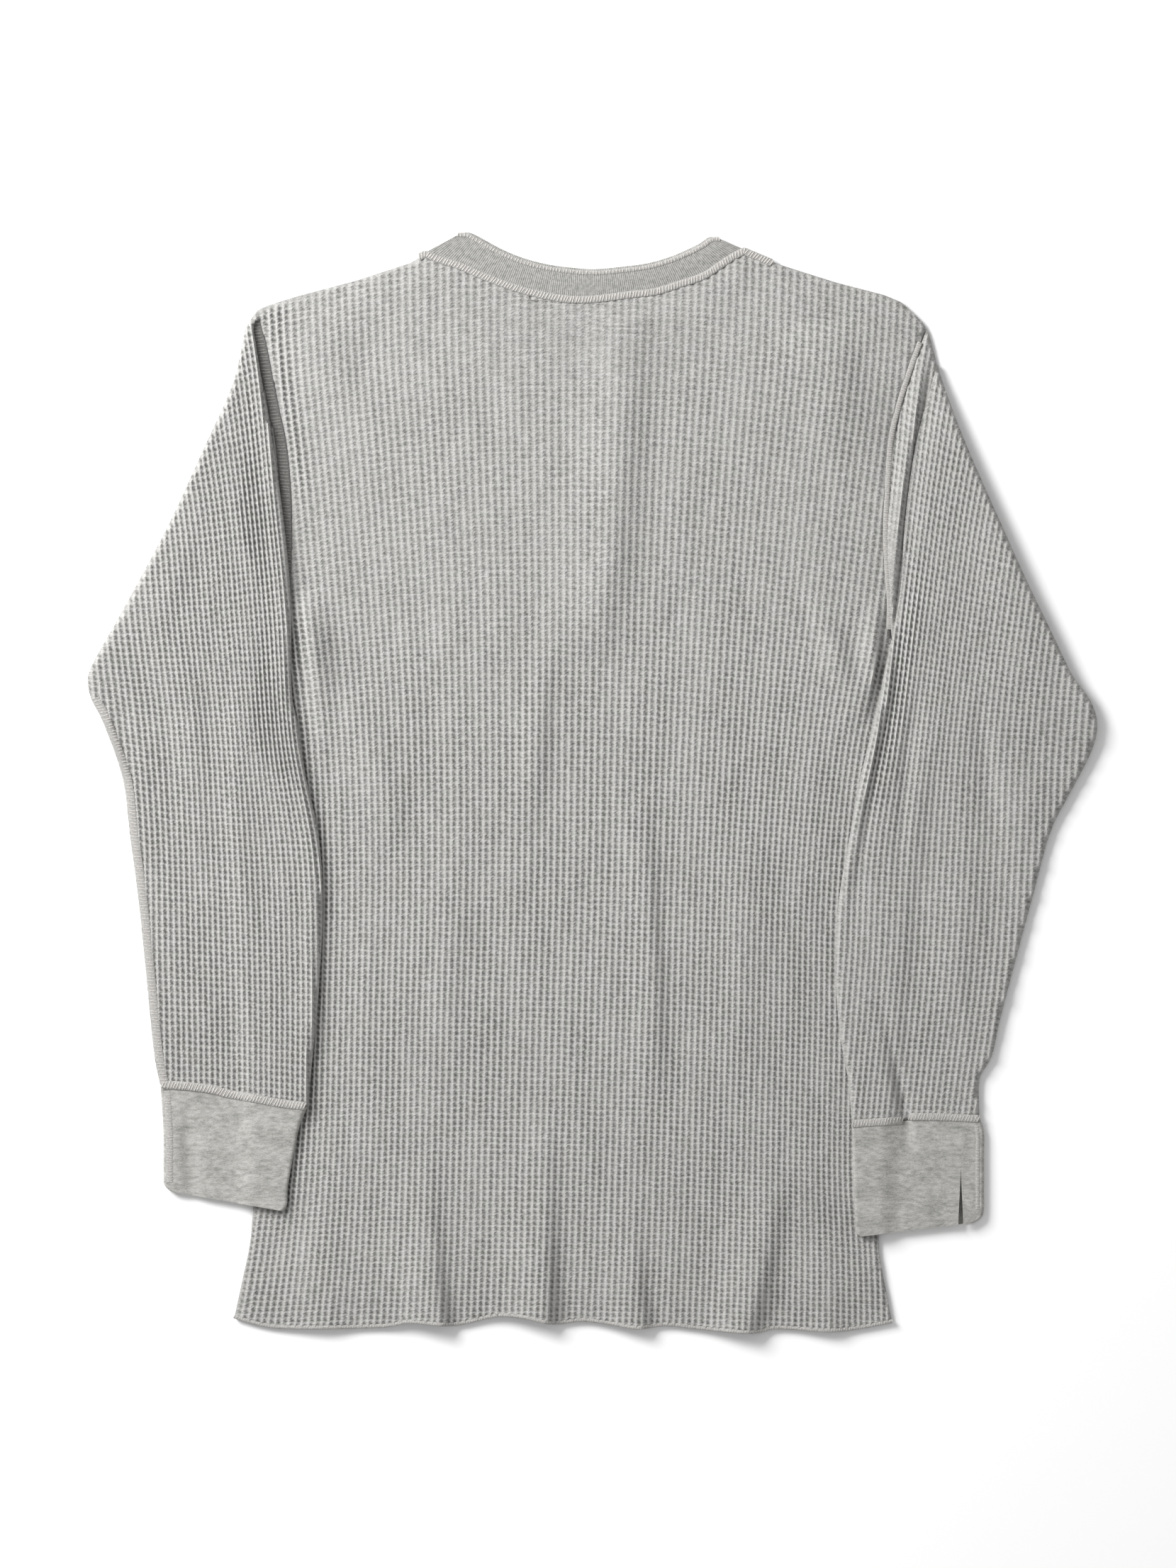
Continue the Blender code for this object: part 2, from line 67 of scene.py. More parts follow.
# %% Cloth sizes
KNIT = 1.6                              # thickness of the waffle knit
RIB_KNIT = 2.0                          # thickness of the doubled rib of the neckband
SEAM_GAP = 0.3                          # air between two layers
BODY_TOP = 2 * KNIT + SEAM_GAP          # top of the back panel on the front panel
SLEEVE_OVER = BODY_TOP + 0.9            # underside of a sleeve on the body
TWO_LAYERS = 2 * KNIT + 0.4             # a flattened sleeve
PUFF = 1.2                              # air under the back panel
CREST, PIT = 0.5, -0.45                 # top of a rib and floor of a pit, from the cloth's mean height
print("a sleeve on the body reaches %.1f mm" % (SLEEVE_OVER + TWO_LAYERS + CREST))

# %% [markdown]
# ## Outlines
#
# A pattern cutter draws each piece from a few measured points and a smooth curve through them. The same is
# done here: short tables hold the points, and a Catmull-Rom curve joins them. It is used instead of a
# Bezier curve because it passes through every point of the table.

# %% Outlines of the body
LEFT_EDGE = (       # height, distance from the middle line
    (10, -239), (38, -233), (57, -229), (76, -227), (132, -224), (274, -230), (415, -235),
    (448, -233), (464, -221), (486, -206), (519, -202), (556, -202), (590, -205), (617, -211),
    (652, -218), (670, -224), (678, -225),
)
RIGHT_EDGE = (
    (7, 198), (23, 195), (44, 191), (64, 189), (132, 191), (274, 203), (391, 218),
    (427, 222), (441, 211), (456, 199), (471, 196), (501, 195), (532, 193), (556, 194),
    (592, 196), (616, 202), (630, 206.5), (645, 211.5), (657, 216.2), (668, 220.4),
)
HEM = (             # distance from the middle line, height
    (-239, 10), (-216, 4), (-187, 3), (-140, 4), (-122, 7), (-93, 5), (-65, 11), (-46, 10),
    (-27, 6), (-8, 8), (10, 6), (29, 3), (48, 5), (67, 3), (105, 0), (123, 3), (161, 1), (198, 7),
)
LEFT_SHOULDER = ((-225, 678), (-222, 680.5), (-216, 683), (-197, 689), (-159, 699), (-122, 711), (-112, 717))
RIGHT_SHOULDER = ((100, 719), (108, 716), (123, 710), (161, 698), (192, 690), (204, 685), (211, 678.5),
                  (216.6, 673), (220.4, 668))
BACK_BAND = (       # seam x, seam y, free edge x, free edge y
    (-112, 717, -88, 731), (-102, 713, -82, 731), (-89, 709, -74, 727), (-73, 702, -61, 720),
    (-54, 695, -46, 714), (-36, 690, -30, 710), (-18, 687, -15, 708), (0, 687, 1, 707),
    (24, 690, 22, 709), (41, 692, 36, 711), (57, 697, 50, 715), (72, 702, 62, 720),
    (83, 709, 70, 724), (92, 715, 76, 728), (100, 719, 81, 728),
)
FRONT_BAND = (
    (-112, 717, -88, 731), (-109, 692, -87, 702), (-100, 667, -81, 677), (-84, 646, -69, 659),
    (-60, 631, -50, 648), (-30, 623, -26, 642), (-6, 621, -6, 640), (18, 623, 14, 642),
    (48, 631, 38, 648), (72, 646, 57, 659), (88, 667, 69, 677), (97, 692, 75, 702),
    (100, 719, 81, 728),
)

# %% Outlines of the sleeves and cuffs
LEFT_SLEEVE = (     # outer x, outer y, inner x, inner y, folded, height of the top
    (-225.5, 677, -223, 677, 1.0, 6.8), (-231, 668, -226, 668, 1.0, 7.5), (-233, 660, -225, 660, 1.0, 8.2),
    (-240, 630, -220, 630, 1.0, 9.2), (-258, 590, -213, 590, 1.0, 9.8),
    (-281, 540, -206, 540, 1.0, 10.0), (-302, 500, -202, 500, 1.0, 10.0),
    (-318, 471, -201, 471, 1.0, 10.0), (-330, 450, -201, 450, 0.8, 9.4),
    (-336, 436, -201, 436, 0.4, 8.4), (-334, 422, -200, 420, 0.0, 7.2),
    (-326, 406, -197, 406, 0.0, 6.4), (-313, 369, -191, 368, 0.0, 6.0),
    (-308, 330, -183, 332, 0.0, 6.0), (-302, 284, -180, 284, 0.0, 6.0),
    (-296, 224, -183, 224, 0.0, 6.0), (-292, 185, -187, 182, 0.0, 5.6),
    (-288, 165, -190, 151, 0.0, 5.0),
)
RIGHT_SLEEVE = (
    (221.3, 667, 220.6, 667, 1.0, 5.2), (225, 657, 224.4, 657, 1.0, 5.4),
    (228.4, 643, 227, 643, 1.0, 5.8), (232, 630, 224, 630, 1.0, 7.6), (247, 590, 213.5, 590, 1.0, 10.2),
    (269, 540, 206.5, 540, 1.0, 10.6), (287, 500, 204, 500, 1.0, 10.6),
    (301, 471, 199.5, 471, 1.0, 10.4), (311, 450, 195, 450, 1.0, 10.0),
    (318, 436, 192, 436, 0.9, 9.8), (329, 421, 189.6, 422, 0.7, 9.4),
    (334, 405, 186, 406, 0.4, 8.4), (330, 386, 181, 387, 0.0, 7.2),
    (315, 357, 174.5, 358, 0.0, 6.4), (303, 333, 170, 332, 0.0, 6.0),
    (292, 293, 163, 292, 0.0, 6.0), (281, 252, 160, 252, 0.0, 6.0),
    (270, 210, 162, 210, 0.0, 6.0), (264, 184, 166, 182, 0.0, 5.6),
    (256, 169, 169, 167, 0.0, 5.2), (256, 144, 171, 140, 0.0, 5.0),
)
LEFT_CUFF = (
    (-288, 164.7, -190, 150.7, 0.0, 5.0), (-287, 151, -195, 139, 0.0, 5.2),
    (-286, 132, -199, 121, 0.0, 5.4), (-286, 109, -203, 99, 0.0, 5.4), (-285.4, 99, -203.8, 86, 0.0, 5.2),
    (-281, 94.4, -207, 81.6, 0.0, 5.0),
)
RIGHT_CUFF = (
    (256, 143.7, 171, 139.7, 0.0, 5.0), (259, 134, 171.5, 130, 0.0, 5.2),
    (259, 118, 172, 112, 0.0, 5.4), (259, 95, 173, 88, 0.0, 5.4), (258.4, 79, 173.6, 69, 0.0, 5.2),
    (253, 73.8, 176.5, 64.6, 0.0, 5.0),
)


def curve_through(rows, steps):
    """The rows of a table with extra rows between them, on a smooth curve through all of them."""
    rows = np.array(rows, float)
    result = []
    for index in range(len(rows) - 1):
        a, b = rows[max(index - 1, 0)], rows[index]
        c, d = rows[index + 1], rows[min(index + 2, len(rows) - 1)]
        for t in np.arange(steps) / steps:
            result.append(0.5 * (2 * b + (c - a) * t + (2 * a - 5 * b + 4 * c - d) * t ** 2
                                 + (3 * b - a - 3 * c + d) * t ** 3))
    return np.array(result + [rows[-1]])


left_curve, right_curve = curve_through(LEFT_EDGE, 4), curve_through(RIGHT_EDGE, 4)
hem_curve = curve_through(HEM, 4)
back_seam, front_seam = curve_through(BACK_BAND, 4)[:, :2], curve_through(FRONT_BAND, 4)[:, :2]
print("hem", round(float(hem_curve[-1, 0] - hem_curve[0, 0])), "mm wide")

# %% [markdown]
# ## Folds and the shape of the cloth above the surface
#
# Cloth that lies flat is never quite flat. The hem waves, the back has long soft creases, and the cloth
# bunches at the underarms. Each fold is one row: how wide its flanks are, and how high it stands along
# a line of a few points. A bell-shaped profile across the line makes a soft ridge, a steeper flank on one
# side makes it lean over, and a negative height makes a trough.

# %% Folds
BACK_FOLDS = (      # widths of the left and right flank; then x, y and rise from the top down
    (24, 6.5, ((-113, 118, 0), (-111, 92, 2.2), (-108, 60, 4.6), (-105, 30, 6.8), (-102, 4, 8.0))),
    (24, 6.5, ((-32, 150, 0), (-32, 112, 2.0), (-32, 70, 4.4), (-32, 30, 7.0), (-33, 6, 8.0))),
    (20, 6, ((22, 92, 0), (24, 64, 1.8), (28, 34, 4.2), (31, 2, 5.8))),
    (20, 9, ((122, 120, 0), (118, 86, 2.0), (110, 46, 4.8), (101, 2, 7.0))),
    (16, 10, ((150, 70, 0), (153, 40, 1.4), (156, 2, 3.0))),
    (20, 16, ((-178, 70, 0), (-179, 40, 1.2), (-180, 2, 3.0))),
    (22, 15, ((24, 690, 0), (21, 640, 2.8), (12, 540, 4.2), (4, 480, 3.6), (-2, 445, 0))),
    (12, 7, ((-31, 462, 0), (-35, 420, 2.6), (-38, 372, 2.6), (-40, 334, 0))),
    (14, 6, ((31, 362, 0), (34, 320, 2.4), (39, 240, 3.4), (41, 190, 2.2), (42, 150, 0))),
    (18, 12, ((-90, 350, 0), (-95, 270, 2.0), (-100, 170, 0))),
    (20, 12, ((94, 350, 0), (100, 260, 2.2), (106, 150, 0))),
    (13, 12, ((-168, 430, 0), (-152, 394, 3.0), (-136, 352, 2.4), (-124, 320, 0))),
    (10, 10, ((146, 492, 0), (156, 464, 3.4), (168, 438, 5.0), (180, 412, 4.0), (190, 380, 0))),
    (28, 24, ((150, 672, 0), (154, 646, 6.0), (166, 616, 4.5), (174, 580, 0))),
    (24, 22, ((-168, 684, 0), (-176, 660, 1.2), (-190, 630, 0.6), (-196, 600, 0))),
)
UNDERARM_FOLDS = (
    (4.5, 11, ((-191, 494, 0), (-190, 478, 4.5), (-188, 460, 7.0), (-185, 440, 5.5), (-182, 412, 2.8),
               (-177, 376, 0))),
    (8, 3.4, ((189, 492, 0), (188, 474, 3.0), (185.5, 450, 5.4), (183, 430, 4.2), (179, 404, 0))),
)
SLEEVE_FOLDS = (
    (7, 3.4, ((-227, 668, 0), (-223, 645, 1.6), (-217.5, 605, 3.2), (-210.5, 550, 3.2), (-206, 505, 2.8),
              (-205, 470, 2.4), (-204.5, 440, 2.4), (-201, 405, 2.2), (-194, 368, 2.0), (-187.5, 320, 2.0),
              (-186.5, 240, 2.0), (-190, 180, 1.6), (-193, 154, 1.0), (-199, 130, 0))),
    (5, 6, ((227, 640, 0), (223, 618, -1.7), (214, 580, -2.1), (209, 540, -2.1), (206.5, 500, -1.9),
            (203, 470, -1.4), (200, 450, -0.8), (197, 430, 0))),
    (4.5, 3.6, ((198.5, 455, 0), (193.8, 432, 1.4), (189, 408, 1.8), (183.4, 384, 1.8), (176.5, 350, 1.5),
            (172, 320, 1.0), (168, 290, 0.5), (166, 262, 0))),
    (3, 6, ((206, 470, 0), (201, 440, -1.5), (197, 415, -1.9), (191, 390, -1.9), (183.5, 358, -1.7),
            (178, 325, -1.2), (171.5, 290, -0.7), (170, 250, 0))),
    (4, 7, ((219, 440, 0), (211, 405, -1.3), (207, 380, -1.6), (204, 340, -1.3), (202, 310, -0.7),
            (201, 285, 0))),
    (11, 7, ((-270, 450, 0), (-266, 420, 1.5), (-263, 360, 1.5), (-260, 300, 0))),
    (7, 6, ((-318, 416, 0), (-314, 400, -1.3), (-309, 380, -1.3), (-305, 362, 0))),
    (13, 10, ((-242, 440, 0), (-238, 380, 1.2), (-237, 320, 1.1), (-235, 270, 0))),
    (12, 9, ((-268, 560, 0), (-272, 520, 1.3), (-283, 480, 0))),
    (5, 6, ((-269, 158, 0), (-269, 145, -1.2), (-268, 110, -1.7), (-267, 84, -1.2))),
    (11, 8, ((294, 430, 0), (291, 400, 1.6), (286, 350, 1.3), (281, 310, 0))),
    (8, 6, ((257, 424, 0), (258, 396, -1.7), (264, 350, -1.5), (269, 300, 0))),
    (6, 5, ((289, 416, 0), (290, 396, -1.3), (290, 372, -1.2), (287, 350, 0))),
    (4, 3, ((190, 226, 0), (197, 192, -2.0), (206, 150, -3.0), (211, 118, 0))),
    (15, 11, ((246, 330, 0), (243, 280, 1.6), (240, 230, 1.4), (237, 196, 0))),
    (13, 10, ((268, 540, 0), (276, 500, 1.4), (290, 450, 1.2), (300, 420, 0))),
)
LOWER_FOLDS = (     # the rolled seam that shows beside the right sleeve
    (6, 2.8, ((221, 656, 0), (218, 636, 2.5), (213.5, 610, 4.2), (206.5, 569, 4.6), (201.4, 528, 4.6),
              (198.4, 495, 4.2), (197, 470, 3.2), (195, 445, 1.6), (192, 425, 0))),
)
SIDE_SLOPE, NECK_SLOPE, HEM_SLOPE = 34, 20, 30  # how far in from these edges the back keeps rising
COVER_FROM, COVER_OVER = 35, 40                 # where, and over what height, the sleeves come in


def mix(a, b, t):
    return a + (b - a) * t


def ease(t):
    """0 below 0, 1 above 1, smooth between."""
    t = np.clip(t, 0.0, 1.0)
    return t * t * (3.0 - 2.0 * t)


def bell(distance, width):
    """1 in the middle, falling off softly to both sides."""
    return np.exp(-(distance / width) ** 2)


def side_of(sign, y):
    """Edge of the body panels, and so the armhole, at a height."""
    table = left_curve if sign < 0 else right_curve
    return np.interp(y, table[:, 0], table[:, 1])


def fold_rise(folds, x, y):
    """Height that the folds of a table add at each point."""
    total = 0.0
    for left, right, rows in folds:
        fold_x, fold_y, rise = curve_through(rows, 5)[::-1].T
        off = x - np.interp(y, fold_y, fold_x)
        along = np.interp(y, fold_y, rise, left=rise[0], right=0)
        total = total + along * bell(off, np.where(off < 0, left, right))
    return total


def inner_edge(table, y):
    """Inner edge of a sleeve and its cuff at a height."""
    rows = np.array(sorted((row[3], row[2]) for row in table))
    return np.interp(y, rows[:, 0], rows[:, 1])


def back_lift(x, y):
    """How far the back panel stands above where it would lie flat."""
    covered = ease((y - COVER_FROM) / COVER_OVER)
    left = mix(side_of(-1, y), inner_edge(LEFT_SLEEVE + LEFT_CUFF, y), covered)
    right = mix(side_of(1, y), inner_edge(RIGHT_SLEEVE + RIGHT_CUFF, y), covered)
    top_line = np.vstack([LEFT_SHOULDER, back_seam[1:-1], RIGHT_SHOULDER])
    share = ease(np.minimum(x - left, right - x) / SIDE_SLOPE)
    share = share * ease((np.interp(x, top_line[:, 0], top_line[:, 1]) - y) / NECK_SLOPE)
    beside = ease((x - left - 1) / 4) * ease((right - x - 1) / 4)
    return np.maximum(0.0, (PUFF * ease((y - 4) / HEM_SLOPE) + fold_rise(BACK_FOLDS, x, y)) * share
                      + fold_rise(UNDERARM_FOLDS, x, y) * beside)


print("hem stands %.1f mm at its highest wave" % back_lift(np.array(-38.0), np.array(8.0)))

# %% [markdown]
# ## The knit as a net of ribs and courses
#
# A waffle knit has upright ribs crossed by low bars, and a pit in every cell between them. On a worn top the
# ribs aren't parallel: they fan out to the shoulders and close up at the waist. So the knit is described as
# a net. Each row of a table is one level of it: how many courses up it is, its height at the middle, how far
# it climbs or falls towards both sides, and where some numbered ribs cross it. Everything between is read
# from smooth curves. A regular grid laid along that net gives every pit its place.

# %% Nets of the knit
KNITS = {           # ribs that are listed; then courses, height, rise at both ends, x of those ribs
    "back": ((-50, -25, 0, 25, 50), (
        (-3, -12, -6, -6, -234, -121, -15, 90, 192),
        (15.4, 57, -4, -8, -222, -117.5, -12, 92.5, 190),
        (30.2, 114, -2.5, -11, -215, -115.7, -10.3, 93.7, 186),
        (54.1, 208, 1.3, -12, -210, -113.6, -7.5, 96, 188),
        (77.2, 302, 0, -12, -209, -111.3, -4.7, 98.3, 190),
        (99.6, 396, -4, -17, -215, -112.1, -3, 104, 200),
        (121.4, 490, -13, -27, -228, -115.7, -1.4, 111.3, 221),
        (142.9, 585, -25, -31, -236.5, -121.3, -0.4, 119.6, 233),
        (160.4, 660, -30, -31, -246, -125.8, 0.7, 126.6, 241),
        (173.7, 716, -32, -31, -250, -127, 1.7, 129, 245),
        (182, 751, -33, -31, -252, -128, 2, 130, 247),
    )),
    "left": ((-16, 0, 14), (
        (-5, 130, 2, -5, -292, -233, -184), (0, 151, 2, -4.5, -292, -233, -184.3),
        (22.2, 245.4, 3.5, -3, -293.4, -233.7, -183.7), (40, 320.8, 4, -1.5, -294.4, -236, -186.5),
        (57.4, 396.1, 3.5, 1.2, -299.6, -240.9, -199.9), (74.4, 471.5, -2, 4.3, -307.3, -247.8, -204.4),
        (91.1, 546.8, -7, 8, -314.6, -254.3, -212), (107.8, 622.2, -22, 16, -331.6, -266.7, -220),
        (124.3, 697.6, -24, 18, -348, -281.7, -231.7),
    )),
    "right": ((-24, 0, 14), (
        (-6, 127, 2, -1, 142, 231, 286), (0, 151.2, 2, -1, 143.7, 234.1, 289.2),
        (23.3, 245.4, 5, 0, 151.2, 245.1, 304.3), (41.8, 320.8, 6, 0, 155.4, 249.4, 308.8),
        (60.1, 396.1, 13, -3, 175.2, 253.4, 312.3), (78, 471.5, 25, -11, 186, 262.1, 318.9),
        (94.7, 546.8, 31, -20, 194.5, 273.5, 330.2), (110.9, 622.2, 37, -24, 201.6, 290.9, 348.1),
        (127.1, 697.6, 38, -24, 220.4, 310.9, 368.3), (136, 739, 38, -24, 231, 322, 379),
    )),
}


def through_points(places, values, wanted):
    """The value at each wanted place of the one polynomial through a few values."""
    total = 0.0
    for index, place in enumerate(places):
        weight = 1.0
        for other in places[:index] + places[index + 1:]:
            weight = weight * (wanted - other) / (place - other)
        total = total + weight * values[index]
    return total


def between_rows(table, wanted):
    """Every column of a table at the wanted places of its first one, on smooth curves."""
    table = np.array(table, float)
    at, rest = table[:, 0], table[:, 1:]
    slopes = np.gradient(rest, at, axis=0)
    low = np.clip(np.searchsorted(at, wanted) - 1, 0, len(at) - 2)
    step = (at[low + 1] - at[low])[:, None]
    t = (wanted - at[low])[:, None] / step
    return (rest[low] * (1 + 2 * t) * (1 - t) ** 2 + slopes[low] * step * t * (1 - t) ** 2
            + rest[low + 1] * t * t * (3 - 2 * t) + slopes[low + 1] * step * t * t * (t - 1)).T


def net_points(knit, rib, course):
    """Where a rib crosses a course, for arrays of rib and course numbers."""
    numbers, table = KNITS[knit]
    levels, which = np.unique(course, return_inverse=True)
    height, rise_left, rise_right, *xs = between_rows(table, levels)[:, which.ravel()]
    x = through_points(numbers, xs, rib)
    y = height + through_points((numbers[0], 0, numbers[-1]), (rise_left, 0.0, rise_right), rib)
    return x, y


middle = net_points("back", np.array([0.0, 1.0]), np.array([77.2, 77.2]))
print("ribs are %.2f mm apart at the waist" % (middle[0][1] - middle[0][0]))

# %% [markdown]
# ## Trimming the grid to the pattern piece
#
# A cutter lays the pattern on the knit and cuts round it, and the ribs simply end at the edge. The grid is
# trimmed the same way: the cells outside the outline are deleted, and the points that are left along the
# edge move onto it. A Boolean would also cut it, but it leaves slivers in every cell that it crosses.

# %% Helpers for outlines and selections


def is_inside(points, outline):
    """True for each point inside a closed outline."""
    x, y = points[:, 0], points[:, 1]
    result = np.zeros(len(points), bool)
    for (x1, y1), (x2, y2) in zip(outline, np.roll(outline, -1, axis=0)):
        if y1 != y2:
            result ^= ((y1 > y) != (y2 > y)) & (x < (x2 - x1) * (y - y1) / (y2 - y1) + x1)
    return result


def nearest_on(points, outline):
    """The nearest place on a closed outline, and its distance, for each point."""
    place = np.zeros_like(points)
    best = np.full(len(points), np.inf)
    for a, b in zip(outline, np.roll(outline, -1, axis=0)):
        along = b - a
        square = float(along @ along)
        if square < 1e-9:
            continue
        spot = a + np.clip((points - a) @ along / square, 0, 1)[:, None] * along
        distance = np.linalg.norm(points - spot, axis=1)
        closer = distance < best
        best[closer], place[closer] = distance[closer], spot[closer]
    return place, best


def select_only(thing):
    """Make this the only selected object, in object mode."""
    if bpy.context.object and bpy.context.object.mode != "OBJECT":
        bpy.ops.object.mode_set(mode="OBJECT")
    bpy.ops.object.select_all(action="DESELECT")
    if thing:
        thing.select_set(True)
        bpy.context.view_layer.objects.active = thing


def edit_faces(thing, wanted):
    """Go into edit mode with just these faces selected."""
    select_only(thing)
    mesh = thing.data
    mesh.vertices.foreach_set("select", np.zeros(len(mesh.vertices), bool))
    mesh.edges.foreach_set("select", np.zeros(len(mesh.edges), bool))
    mesh.polygons.foreach_set("select", wanted)
    bpy.context.tool_settings.mesh_select_mode = (False, False, True)
    bpy.ops.object.mode_set(mode="EDIT")


def points_of(thing):
    """The vertices of a mesh as rows of x, y, z."""
    flat = np.empty(len(thing.data.vertices) * 3)
    thing.data.vertices.foreach_get("co", flat)
    return flat.reshape(-1, 3)


def move_points(thing, points):
    """Give a mesh new places for its vertices."""
    thing.data.vertices.foreach_set("co", np.ascontiguousarray(points, float).ravel())
    thing.data.update()


def to_frame(thing):
    """Garment millimetres become metres of the frame."""
    points = points_of(thing)
    move_points(thing, (points - (ORIGIN_X, ORIGIN_Y, 0)) * MM)


def corner_verts(mesh):
    """The vertex at each corner of each face."""
    corners = np.empty(len(mesh.loops), int)
    mesh.loops.foreach_get("vertex_index", corners)
    return corners


print("the hem's curve has %d points" % len(hem_curve))

# %% The grid along the net
FINE = 2            # columns for each rib and rows for each course


def knit_sheet(name, knit, ribs, courses, outline):
    """A grid laid along the net of a knit and trimmed to an outline, still flat."""
    select_only(None)
    columns, rows = FINE * (ribs[1] - ribs[0]), FINE * (courses[1] - courses[0])
    bpy.ops.mesh.primitive_grid_add(x_subdivisions=columns, y_subdivisions=rows, size=1)
    sheet = bpy.context.object
    sheet.name = sheet.data.name = name
    mesh = sheet.data
    points = points_of(sheet)
    rib = ribs[0] + np.round((points[:, 0] + 0.5) * columns) / FINE
    course = courses[0] + np.round((points[:, 1] + 0.5) * rows) / FINE
    layer = mesh.uv_layers.active
    layer.name = "knit"
    corners = corner_verts(mesh)
    layer.data.foreach_set("uv", np.column_stack([rib, course])[corners].ravel())
    points[:, 0], points[:, 1] = net_points(knit, rib, course)
    move_points(sheet, points)
    centres = np.empty(len(mesh.polygons) * 3)
    mesh.polygons.foreach_get("center", centres)
    edit_faces(sheet, ~is_inside(centres.reshape(-1, 3)[:, :2], outline))
    bpy.ops.mesh.delete(type="FACE")
    bpy.ops.mesh.select_all(action="SELECT")
    bpy.ops.mesh.region_to_loop()
    bpy.ops.object.mode_set(mode="OBJECT")
    points = points_of(sheet)
    edge = np.empty(len(mesh.vertices), bool)
    mesh.vertices.foreach_get("select", edge)
    points[edge, :2] = nearest_on(points[edge, :2], outline)[0]
    move_points(sheet, points)
    return sheet


print("each cell of the waffle has %d faces" % (FINE * FINE))

# %% [markdown]
# ## From a flat sheet to a wall
#
# Extruding the whole sheet gives it a second side and a wall round its edge. The wall is cut once, half-way
# up, and near the edge the two sides draw together, so the edge is rounded like a fold. Then one function
# gives every point its height: the lower side, the upper side, or half-way between them. The relief of the
# waffle is added to the side that shows it, and it fades towards the edge. An attribute keeps how far, so
# the material's pits fade along with it. The plain side needs few faces, so they are decimated, away from
# the edge.

# %% The wall and its relief
CUT_RADIUS = 1.2        # how far in from a cut edge the cloth is rounded
DRAWN_IN = 1.6          # how far a side may draw in towards the other at the edge
LEAST_EDGE = 0.2        # the thinnest an edge gets, as a share of the wall
DEEPEST = 1.55          # the pits get no deeper than this many times the knit's own depth
PLAIN_SHARE = 0.03      # share of the faces that a hidden plain side keeps
PLAIN_FROM = 5          # how far from the edge it starts to lose them
OPEN_END = 1.5          # faces of the wall this near to an open end are left out
SHARP = math.radians(70)    # edges of the mesh that turn by more than this stay sharp


def waffle(rib, course):
    """Height of the waffle from 0 in a pit to 1 on a rib."""
    ridge = 0.5 + 0.5 * np.cos(2 * math.pi * rib)
    bar = 0.5 + 0.5 * np.cos(2 * math.pi * course)
    return ridge + (1 - ridge) * bar * 0.5


def knit_numbers(thing):
    """Rib and course number of every vertex, from the knit map."""
    mesh = thing.data
    numbers = np.zeros((len(mesh.vertices), 2))
    uv = np.empty(len(mesh.loops) * 2)
    mesh.uv_layers["knit"].data.foreach_get("uv", uv)
    numbers[corner_verts(mesh)] = uv.reshape(-1, 2)
    return numbers[:, 0], numbers[:, 1]


def distance_from(line, places):
    """Distance of each place from a straight line through two points."""
    along = (line[1] - line[0]) / np.linalg.norm(line[1] - line[0])
    way = places - line[0]
    return np.abs(way[:, 0] * along[1] - way[:, 1] * along[0])


def give_two_sides(sheet):
    """Extrude a flat sheet by one unit and cut its wall once, so every point is at level 0, 0.5 or 1."""
    edit_faces(sheet, np.ones(len(sheet.data.polygons), bool))
    bpy.ops.mesh.extrude_region_move(TRANSFORM_OT_translate={"value": (0, 0, 1)})
    bpy.ops.object.mode_set(mode="OBJECT")
    mesh = sheet.data
    height = points_of(sheet)[:, 2]
    ends = np.empty(len(mesh.edges) * 2, int)
    mesh.edges.foreach_get("vertices", ends)
    upright = np.ptp(height[ends.reshape(-1, 2)], axis=1) > 0.5
    mesh.polygons.foreach_set("select", np.zeros(len(mesh.polygons), bool))
    mesh.vertices.foreach_set("select", np.zeros(len(mesh.vertices), bool))
    mesh.edges.foreach_set("select", upright)
    bpy.context.tool_settings.mesh_select_mode = (False, True, False)
    bpy.ops.object.mode_set(mode="EDIT")
    bpy.ops.mesh.subdivide(number_cuts=1)
    bpy.ops.mesh.select_all(action="SELECT")
    bpy.ops.mesh.normals_make_consistent(inside=False)
    bpy.ops.object.mode_set(mode="OBJECT")


def round_edge(low, high, distance, radius):
    """Draw the two sides together where they are near the edge."""
    share = 1 - np.clip(distance / radius, 0, 1)
    least = np.clip(1 - 2 * DRAWN_IN / (high - low), LEAST_EDGE, 1)
    round_off = mix(least, 1.0, np.sqrt(1 - share * share))
    middle = (low + high) / 2
    return mix(middle, low, round_off), mix(middle, high, round_off)


def whole_faces(mesh, marked):
    """True for each face whose vertices are all marked."""
    starts = np.empty(len(mesh.polygons), int)
    mesh.polygons.foreach_get("loop_start", starts)
    return np.logical_and.reduceat(marked[corner_verts(mesh)], starts)


print("the waffle is %.2f mm deep" % (CREST - PIT))

# %% Making the wall


